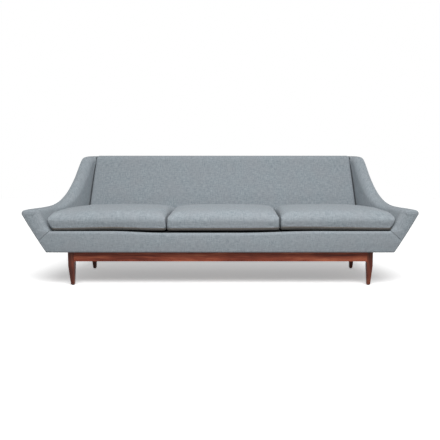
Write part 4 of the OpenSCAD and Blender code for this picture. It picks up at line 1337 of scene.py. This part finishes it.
# The foam slab inside a cover, with its cut edges eased
def makeFoam(sideName):
    plan = cushionPlans[sideName][0]
    mid, half = planCentre(plan), planHalf(plan)
    outline = planOutline(plan, foam["corner"], 24, 3)
    low, high, edge = cushionZ + foam["low"], cushionZ + foam["low"] + foam["height"], foam["edge"]
    flat = ((edge, 0), (60, 0), (half.x * 0.9, 0))  # the flat faces, from their edge to near the middle
    arc = [(edge * (1 - sin(t)), edge * (1 - cos(t))) for t in spread(0.3, pi / 2, 3)]
    levels = [(inset, low + rise) for inset, rise in (*flat[::-1], *arc)]
    levels += [(0, z) for z in spread(low, high, 6)[1:-1]]
    levels += [(inset, high - rise) for inset, rise in (*arc[::-1], *flat)]
    rings = []
    for inset, z in levels:
        sx, sy = (max(0.02, 1 - (foam["inset"] + inset) / size) for size in half)
        offsets = [p - mid for p, _ in outline]
        rings.append([(mid.x + q.x * sx, frontY + mid.y + q.y * sy, z) for q in offsets])
    made = lofted("cushion_" + sideName + "_foam", rings, 50)
    dress(made, foamMaterial, "cushion_" + sideName, "foam", "cushion_core_" + sideName, fill=1.0)


for sideName in cushionPlans:
    makeFoam(sideName)
print("foam slabs made")

# Seat deck

deck = {
    "low": railTop + 4.5,  # on the webbing and the hessian
    "front": shell["borderThick"] + clear, "rearRoom": 5.4, "sideRoom": 5.6,
    "dipShare": 0.9, "dipDepth": 120, "dipThick": 12,  # how much of the seat's dip it follows, and how far
}


# A place between the arms, level with z: (x, depth).
def deckPlace(s, t, z):
    rear = rearDepth(z) - backDeep - deck["rearRoom"]
    d = deck["front"] + (rear - deck["front"]) * t
    return (2 * s - 1) * (faceIn(d, z) - deck["sideRoom"]), d


def deckSurface(s, t, inset):
    x, d = deckPlace(s, t, padTop)
    pressed = deck["dipShare"] * seatDip(x) + border["topFall"]
    pressed *= (1 - fade(0, deck["dipDepth"], d - deck["front"])) * max(0.0, 1 - inset / deck["dipThick"])
    return x, frontY + d, padTop - inset - pressed


seatDeck = roundedPatch("seatDeck", deckSurface, 120, 50, padTop - deck["low"], 9.0)
dress(seatDeck, deckCloth, "sofa", "wool", "seat_deck_pad", fill=0.8)

# Cloths stretched over the frames; each is a thin closed patch

hessian = {"thick": 1.5, "backDepth": 52.2, "backLow": 151.0, "backHigh": 581.5, "backRoom": 0.8}
dust = {
    "thick": 1.0, "half": footX - 6.2, "front": shell["borderThick"] + clear, "rear": 634.4, "hole": 2.7,
    "slack": 0.9, "slackEdge": 60,
}
stand = {  # in mm: where its rails bear on the dust cloth, and where its screws stand
    "front": 40, "depth": 560, "sideX": 894, "halfRail": 16, "frontRail": 70, "rearRail": (570, 600),
    "screwX": 863.0, "screwY": (-311.1, 152.8), "screwZ": 173.0,
}
screwPlaces = [(side * stand["screwX"], y) for side in (-1, 1) for y in stand["screwY"]]


def seatHessianSurface(s, t, inset):
    x, d = deckPlace(s, t, deck["low"])
    return x, frontY + d, deck["low"] - inset


def backHessianSurface(s, t, inset):
    v = hessian["backLow"] + (hessian["backHigh"] - hessian["backLow"]) * t
    y, z = leanPoint(hessian["backDepth"] + inset, v)
    return (2 * s - 1) * (backHalf(z) - hessian["backRoom"]), y, z


# The dust cloth hangs a little wherever the stand doesn't bear on it.
def dustSurface(s, t, inset):
    x = (1 - 2 * s) * dust["half"]
    d = dust["front"] + (dust["rear"] - dust["front"]) * t
    onSides = min(abs(abs(x) - stand["sideX"]), abs(x)) < stand["halfRail"]
    onRails = d < stand["frontRail"] or stand["rearRail"][0] < d < stand["rearRail"][1]
    hang = 0.0
    if not (onSides or onRails):
        hang = dust["slack"]
        for toEdge in (dust["half"] - abs(x), d - dust["front"], dust["rear"] - d):
            hang *= fade(0, dust["slackEdge"], toEdge)
        hang *= 0.6 + ripple(x * 0.01, d * 0.02, 5.0)
    return x, frontY + d, under + inset - hang


def patchArea(surface, steps=60):
    def at(i, j):
        return Vector(surface(i / steps, j / steps, 0))

    total = 0.0
    for i in range(steps):
        for j in range(steps):
            total += (at(i + 1, j) - at(i, j)).cross(at(i, j + 1) - at(i, j)).length
    return total * mm * mm


# Points round a circle.
def circle(radius, steps, x=0.0, y=0.0):
    return [(x + radius * cos(a), y + radius * sin(a)) for a in spread(0, 2 * pi, steps)[:-1]]


# A stretched cloth, with small holes where the screws pass.
def makeSheet(name, surface, across, up, thick, material, slot, node, holes=()):
    made = roundedPatch(name, surface, across, up, thick, thick)
    if holes:
        cutAway(made, [
            prism("hole", circle(dust["hole"], 16, x, y), "z", under - 20, under + 20) for x, y in holes
        ])
        smoothBy(made, 50)
    dress(made, material, "sofa", slot, node)
    width = max(gap(surface(0, t, 0), surface(1, t, 0)) for t in (0, 0.5, 1)) * mm
    length = gap(surface(0.5, 0, 0), surface(0.5, 1, 0)) * mm
    area = patchArea(surface)
    print(name, "is a sheet of", round(width, 3), "by", round(length, 3), "m")


makeSheet("seatHessian", seatHessianSurface, 60, 20, hessian["thick"], hessianCloth, "hessian",
          "seat_hessian")
makeSheet("backHessian", backHessianSurface, 60, 20, hessian["thick"], hessianCloth, "hessian",
          "back_hessian")
makeSheet("dustCloth", dustSurface, 200, 60, dust["thick"], blackCloth, "dust_cloth",
          "dust_cover", screwPlaces)
print("deck and cloths made")


# Geometry Nodes: a tree with named inputs, run on a plain host and kept as a plain mesh

def newTree(name, inputs):
    tree = bpy.data.node_groups.new(name, "GeometryNodeTree")
    tree.interface.new_socket("Geometry", in_out="INPUT", socket_type="NodeSocketGeometry")
    tree.interface.new_socket("Geometry", in_out="OUTPUT", socket_type="NodeSocketGeometry")
    for label, value in inputs.items():
        kind = "NodeSocketInt" if isinstance(value, int) else "NodeSocketFloat"
        tree.interface.new_socket(label, in_out="INPUT", socket_type=kind).default_value = value
    return tree, tree.nodes.new("NodeGroupInput").outputs


def endTree(tree, geometry, material):
    real = addNode(tree, "GeometryNodeRealizeInstances", {0: geometry})
    dressed = addNode(tree, "GeometryNodeSetMaterial", {"Geometry": real.outputs[0], "Material": material})
    tree.links.new(dressed.outputs[0], tree.nodes.new("NodeGroupOutput").inputs[0])


def grown(name, tree, values, points=()):
    mesh = bpy.data.meshes.new(name)
    mesh.from_pydata([tuple(c * mm for c in p) for p in points], [], [])
    host = makeObject(name, mesh)
    step = host.modifiers.new("grow", "NODES")
    step.node_group = tree
    for item in tree.interface.items_tree:
        if item.item_type == "SOCKET" and item.in_out == "INPUT" and item.name in values:
            step[item.identifier] = values[item.name]
    applyModifiers(host)
    boxCloth(host.data)
    return host


def vectorOf(tree, x, y, z):
    return addNode(tree, "ShaderNodeCombineXYZ", {0: x, 1: y, 2: z}).outputs[0]


def positions(tree):
    here = addNode(tree, "GeometryNodeInputPosition").outputs[0]
    return addNode(tree, "ShaderNodeSeparateXYZ", {0: here}).outputs


def atPoints(tree, points, instance, **more):
    inputs = {"Points": points, "Instance": instance, **more}
    return addNode(tree, "GeometryNodeInstanceOnPoints", inputs).outputs[0]


# Webbing: woven straps side by side under the seat
webbing = {
    "Count": 14, "Pitch": 0.13794, "Strap Width": 0.050, "Strap Length": 0.5032, "Thickness": 0.003,
    "First": -0.92163, "Front": -0.36474, "Height": 0.298, "Dip": 0.0012,
}


def webbingTree():
    tree, given = newTree("webbing", webbing)
    strap = addNode(tree, "GeometryNodeMeshCube", {
        "Size": vectorOf(tree, given["Strap Width"], given["Strap Length"], given["Thickness"]),
        "Vertices X": 5, "Vertices Y": 48, "Vertices Z": 2,
    })
    turns = times(tree, mathNode(tree, "DIVIDE", positions(tree)[1], given["Strap Length"]), 4 * pi)
    dip = times(tree, less(tree, mathNode(tree, "COSINE", turns), 1.0), times(tree, given["Dip"], 0.5))
    hung = addNode(tree, "GeometryNodeSetPosition", {
        "Geometry": strap.outputs[0], "Offset": vectorOf(tree, 0.0, 0.0, dip),
    })
    start = vectorOf(tree, *(
        summed(tree, given[place], times(tree, given[size], 0.5))
        for place, size in (("First", "Strap Width"), ("Front", "Strap Length"), ("Height", "Thickness"))
    ))
    row = addNode(tree, "GeometryNodeMeshLine", {
        "Count": given["Count"], "Start Location": start, "Offset": vectorOf(tree, given["Pitch"], 0.0, 0.0),
    })
    endTree(tree, atPoints(tree, row.outputs[0], hung.outputs[0]), webCloth)
    return tree


seatStraps = grown("seatStraps", webbingTree(), webbing)
dress(seatStraps, webCloth, "sofa", "webbing", "seat_webbing")

# Legs: square above, tapered on all four sides below, more on the outer side
leg = {
    "Inner Face": 0.877, "Front": (frontY + stand["front"]) * mm, "Width": 0.034, "Depth": 0.046,
    "Foot Width": 0.020, "Foot Depth": 0.023, "Top": 0.207, "Taper": 0.119, "Foot": 0.004, "Outer Share": 0.7,
}
legEase = 0.0016  # rounding of the long edges


def legTree():
    tree, given = newTree("taperedLeg", leg)
    block = addNode(tree, "GeometryNodeMeshCube", {
        "Size": (1, 1, 1), "Vertices X": 3, "Vertices Y": 3, "Vertices Z": 31,
    })
    across, along, up = (summed(tree, part, 0.5) for part in positions(tree))
    z = summed(tree, given["Foot"], times(tree, up, less(tree, given["Top"], given["Foot"])))
    share = mathNode(tree, "DIVIDE", less(tree, given["Taper"], z), less(tree, given["Taper"], given["Foot"]))
    share = mathNode(tree, "MAXIMUM", share, 0.0)
    wide, deep = (
        summed(tree, given[top], times(tree, less(tree, given[foot], given[top]), share))
        for top, foot in (("Width", "Foot Width"), ("Depth", "Foot Depth"))
    )
    narrowed = less(tree, given["Width"], given["Foot Width"])
    inner = times(tree, times(tree, narrowed, less(tree, 1.0, given["Outer Share"])), share)
    x = summed(tree, given["Inner Face"], inner, times(tree, across, wide))
    forward = times(tree, less(tree, given["Depth"], deep), 0.5)
    y = summed(tree, given["Front"], forward, times(tree, along, deep))
    shaped = addNode(tree, "GeometryNodeSetPosition", {
        "Geometry": block.outputs[0], "Position": vectorOf(tree, x, y, z),
    })
    endTree(tree, shaped.outputs[0], darkWood["z"])
    return tree


def easeEdges(obj, width, segments=2):
    step = obj.modifiers.new("ease", "BEVEL")
    step.width, step.segments = width, segments
    step.limit_method, step.angle_limit = "ANGLE", radians(50)
    applyModifiers(obj)


firstLeg = grown("leg_frontRight", legTree(), leg)
easeEdges(firstLeg, legEase, 3)
outward(firstLeg)
smoothBy(firstLeg, 40)
rearLeg = mirrorMesh(firstLeg, "leg_rearRight", 1, (frontY + stand["front"] + stand["depth"] / 2) * mm)
legs = {
    "leg_front_right": firstLeg, "leg_rear_right": rearLeg,
    "leg_front_left": mirrorMesh(firstLeg, "leg_frontLeft"),
    "leg_rear_left": mirrorMesh(rearLeg, "leg_rearLeft"),
}
for node, piece in legs.items():
    boxCloth(piece.data)
    dress(piece, darkWood["z"], "sofa", "dark_wood", node)

# Rails and blocks of the stand: the solids' shapes with their sharp edges eased, in mm
standPieces = {"stand_rail_" + sideName: (grain, darkWood, "dark_wood", 1.4) for sideName, grain in (
    ("front", "x"), ("rear", "x"), ("left", "y"), ("right", "y"))}
standPieces["stand_cross_rail"] = ("y", paleWood, "frame_wood", 1.0)
standPieces["stand_corner_blocks"] = ("x", paleWood, "frame_wood", 1.0)
for node, (grain, woods, slot, ease) in standPieces.items():
    piece = copySolid(node, node.replace("stand_", "eased_"), radians(1))
    easeEdges(piece, ease * mm)
    outward(piece)
    smoothBy(piece, 30)
    dress(piece, woods[grain], "sofa", slot, node)
print("stand made")

# Fasteners: a template set at each point, or along the edge of the dust cloth
staple = {"Width": 2.0316, "Depth": 0.5880, "Spacing": 0.046, "Turn": 0.14, "Seed": 7}
stapleSize = {"crown": 11.0, "leg": 6.0, "wire": 0.9, "flat": 0.6}
screw = {"head": 5.0, "headHeight": 3.0, "shank": 2.5, "length": 76.0, "slotWidth": 1.1, "slotDepth": 1.3}


# The template at each of the points, in mm.
def setOut(name, template, material, points):
    tree, given = newTree(name, {})
    model = addNode(tree, "GeometryNodeObjectInfo", {"Object": template}).outputs["Geometry"]
    endTree(tree, atPoints(tree, given[0], model), material)
    made = grown(name, tree, {}, points)
    discard(template)
    return made


def stapleTree(template):
    tree, given = newTree("staples", staple)
    edge = addNode(tree, "GeometryNodeCurvePrimitiveQuadrilateral", {
        "Width": given["Width"], "Height": given["Depth"],
    })
    steps = addNode(tree, "GeometryNodeResampleCurve", {"Curve": edge.outputs[0]}, mode="LENGTH")
    tree.links.new(given["Spacing"], next(socket for socket in steps.inputs if socket.name == "Length"))
    tangent = addNode(tree, "GeometryNodeInputTangent").outputs[0]
    facing = addNode(tree, "FunctionNodeAlignRotationToVector", {"Vector": tangent}, axis="X", pivot_axis="Z")
    chance = addNode(tree, "FunctionNodeRandomValue", data_type="FLOAT")
    limits = {"Min": times(tree, given["Turn"], -1.0), "Max": given["Turn"], "Seed": given["Seed"]}
    for socket in chance.inputs:
        if socket.enabled and socket.name in limits:
            tree.links.new(limits[socket.name], socket)
    value = next(s for s in chance.outputs if s.enabled)
    twist = addNode(tree, "FunctionNodeEulerToRotation", {0: vectorOf(tree, 0.0, 0.0, value)})
    turned = addNode(tree, "FunctionNodeRotateRotation", {0: facing.outputs[0], 1: twist.outputs[0]})
    model = addNode(tree, "GeometryNodeObjectInfo", {"Object": template}).outputs["Geometry"]
    placed = atPoints(tree, steps.outputs[0], model, Rotation=turned.outputs[0])
    middle = frontY + (dust["front"] + dust["rear"]) / 2
    moved = addNode(tree, "GeometryNodeTransform", {
        "Geometry": placed, "Translation": (0, middle * mm, under * mm),
    })
    endTree(tree, moved.outputs[0], steelMaterial)
    return tree


def stapleTemplate():
    half, wire, flat = stapleSize["crown"] / 2, stapleSize["wire"] / 2, stapleSize["flat"]
    stations = ((-half, stapleSize["leg"], 0), (-half, 0, 1), (half, 0, 1), (half, stapleSize["leg"], 0))
    rings = []
    for x, z, bend in stations:
        outX, outZ = x + copysign(flat, x), z - flat * bend
        rings.append([(x, -wire, z), (x, wire, z), (outX, wire, outZ), (outX, -wire, outZ)])
    return lofted("stapleTemplate", rings)


def screwTemplate():
    head, high, shank = screw["head"], screw["headHeight"], screw["shank"]
    # the dome, in shares of the head's radius and height
    domed = ((0.55, 1.0), (0.85, 0.86), (0.97, 0.6), (1.0, 0.3), (1.0, 0.0))
    levels = [(0.3, -high), *((head * wide, -high * up) for wide, up in domed)]
    levels += [(shank, 0.0), (shank, screw["length"] - 6), (0.4, screw["length"])]
    made = lofted("screwTemplate", [[(x, y, z) for x, y in circle(r, 24)] for r, z in levels])
    w, reach = screw["slotWidth"] / 2, head * 0.6
    cross = [(-w, -reach), (w, -reach), (w, -w), (reach, -w), (reach, w), (w, w),
             (w, reach), (-w, reach), (-w, w), (-reach, w), (-reach, -w), (-w, -w)]
    cutAway(made, [prism("slotCut", cross, "z", -high - 5, -high + screw["slotDepth"])])
    smoothBy(made, 35)
    return made


screwFeet = [(x, y, stand["screwZ"]) for x, y in screwPlaces]
screws = setOut("shellScrews", screwTemplate(), steelMaterial, screwFeet)
dress(screws, steelMaterial, "sofa", "steel", "stand_screws")
oneStaple = stapleTemplate()
staples = grown("dustStaples", stapleTree(oneStaple), staple)
discard(oneStaple)
dress(staples, steelMaterial, "sofa", "steel")


# Zips: a coil of small teeth along a woven tape, with a slider at one end

def toothTemplate():
    outline = ((0.5, 0.0), (0.35, 0.9), (-0.35, 0.9), (-0.5, 0.0))
    levels = ((-2.6, 0.5), (-1.2, 1.0), (1.2, 1.0), (2.6, 0.5))
    return lofted("toothTemplate", [[(x * wide, y, z) for x, y in outline] for z, wide in levels])


def sliderPiece():
    outline = [(-5, -4), (4, -5), (7, -2), (7, 2), (4, 5), (-5, 4)]
    levels = ((0.8, 0.0), (1.0, 0.5), (1.0, 1.6), (0.85, 2.1))
    return lofted("slider", [[(x * k, y, z * k) for x, z in outline] for k, y in levels])


def joinInto(first, *others):
    work = bmesh.new()
    for obj in (first, *others):
        work.from_mesh(obj.data)
    work.to_mesh(first.data)
    work.free()
    discard(*others)


def makeZip(sideName):
    plan = planAt(cushionPlans[sideName], zipper["z"])
    mid, long, z = planCentre(plan).x, planHalf(plan).x * zipper["share"], zipper["z"]
    face = frontY + cushionRear - cushion["inset"] + zipper["tape"]  # the tape's outer face

    def tapeSurface(s, t, inset):
        return mid + (1 - 2 * s) * long, face - inset, z + (t - 0.5) * zipper["height"]

    piece = roundedPatch("tape", tapeSurface, 60, 4, zipper["tape"] + zipper["under"], 1.0)
    start, pitch = mid - long + zipper["teethFrom"], zipper["pitch"]
    count = int(2 * (long - zipper["teethFrom"]) / pitch)
    places = [(start + k * pitch, face - 0.1, z) for k in range(count)]
    teeth = setOut("teeth", toothTemplate(), nylonMaterial, places)
    slider = sliderPiece()
    for v in slider.data.vertices:
        v.co += Vector((mid + long - zipper["sliderFrom"], face + 0.4, z)) * mm
    boxCloth(slider.data)
    for index, part in enumerate((piece, teeth, slider)):
        part.data.materials.clear()
        for material in (zipTapeCloth, nylonMaterial, steelMaterial):
            part.data.materials.append(material)
        part.data.polygons.foreach_set("material_index", [index] * len(part.data.polygons))
    joinInto(piece, teeth, slider)
    piece.name = "cushion_" + sideName + "_zip"
    smoothBy(piece, 40)
    declare(piece, "cushion_" + sideName, "zip", "cushion_zip_" + sideName)


for sideName in cushionPlans:
    makeZip(sideName)
print("fasteners and zips made")

# Solids that stay, with the finish of their wood
alongY = ("seat_rail_left", "seat_rail_right", "seat_cross_rails", "arm_foot", "arm_top")


def solidFinish(name):
    if name == "floor_glides":
        return nylonMaterial
    if "post" in name:
        return paleWood["z"]
    return paleWood["y" if any(part in name for part in alongY) else "x"]


for name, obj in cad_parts.items():
    if not obj.data.materials:
        obj.data.materials.append(None)
    for k in range(len(obj.data.materials)):
        obj.data.materials[k] = solidFinish(name)
print("solids finished")

# Stage, light and camera

stage = {
    "floorSize": 14.0, "floorColour": (252, 252, 252), "floorGain": 1.2,
    "floorBounce": (150, 150, 150),  # its colour in the light that it throws back on the sofa
    "floorLift": 0.355,
    "skyStrength": 0.24, "keyStrength": 1.38, "keyFrom": (0.12, -0.62, 1.0), "keySoftness": 40,
    "boxPower": 30.0, "boxPlace": (0.15, -1.9, 1.9), "boxSize": (2.6, 1.2), "boxAim": (0.0, 0.0, 0.4),
}


# 1 where the camera looks, itself or in a reflection, and 0 for the light that falls on the sofa.
def cameraFlag(tree):
    path = tree.nodes.new("ShaderNodeLightPath")
    seen = mathNode(tree, "MAXIMUM", path.outputs["Is Camera Ray"], path.outputs["Is Glossy Ray"])
    return mathNode(tree, "MAXIMUM", seen, path.outputs["Is Transmission Ray"])


halfFloor = stage["floorSize"] / 2
floorMesh = bpy.data.meshes.new("floor")
corners = [(x * halfFloor, y * halfFloor, 0) for x, y in ((-1, -1), (1, -1), (1, 1), (-1, 1))]
floorMesh.from_pydata(corners, [], [(0, 1, 2, 3)])
floor = makeObject("floor", floorMesh)
floorMaterial, tree = newMaterial("floorPale")
seen = cameraFlag(tree)
pale, bounce = linear(*stage["floorColour"], stage["floorGain"]), linear(*stage["floorBounce"])
shade = blendColours(tree, seen, bounce, pale)
diffuse = addNode(tree, "ShaderNodeBsdfDiffuse", {"Color": shade})
glow = addNode(tree, "ShaderNodeEmission", {
    "Color": (1, 1, 1, 1), "Strength": times(tree, seen, stage["floorLift"]),
})
both = addNode(tree, "ShaderNodeAddShader", {0: diffuse.outputs[0], 1: glow.outputs[0]})
addNode(tree, "ShaderNodeOutputMaterial", {0: both.outputs[0]})
floorMesh.materials.append(floorMaterial)

world = bpy.data.worlds.new("studio")
bpy.context.scene.world = world
world.use_nodes = True
tree = world.node_tree
tree.nodes.clear()
dim = addNode(tree, "ShaderNodeBackground", {"Color": (1, 1, 1, 1), "Strength": stage["skyStrength"]})
white = addNode(tree, "ShaderNodeBackground", {"Color": (1, 1, 1, 1), "Strength": 1.0})
mixed = addNode(tree, "ShaderNodeMixShader", {0: cameraFlag(tree), 1: dim.outputs[0], 2: white.outputs[0]})
addNode(tree, "ShaderNodeOutputWorld", {0: mixed.outputs[0]})

keyData = bpy.data.lights.new("key", "SUN")
keyData.energy, keyData.angle = stage["keyStrength"], radians(stage["keySoftness"])
key = makeObject("key", keyData)
key.rotation_euler = Vector(stage["keyFrom"]).to_track_quat("Z", "Y").to_euler()
boxData = bpy.data.lights.new("softBox", "AREA")
boxData.energy, boxData.shape = stage["boxPower"], "RECTANGLE"
boxData.size, boxData.size_y = stage["boxSize"]
softBox = makeObject("softBox", boxData)
softBox.location = stage["boxPlace"]
softBox.rotation_euler = (Vector(stage["boxAim"]) - softBox.location).to_track_quat("-Z", "Y").to_euler()

camera = {"place": (0.10, frontY * mm - 3.2, 0.75), "pitch": 6.23, "shift": -0.039, "lens": 45, "sensor": 36}
cameraData = bpy.data.cameras.new("camera")
cameraData.lens, cameraData.sensor_width = camera["lens"], camera["sensor"]
cameraData.shift_x = camera["shift"]
cameraObject = makeObject("camera", cameraData)
cameraObject.location = camera["place"]
cameraObject.rotation_euler = (radians(90 - camera["pitch"]), 0, 0)
bpy.context.scene.camera = cameraObject
bpy.context.scene.view_settings.view_transform = "Standard"
print("stage made")
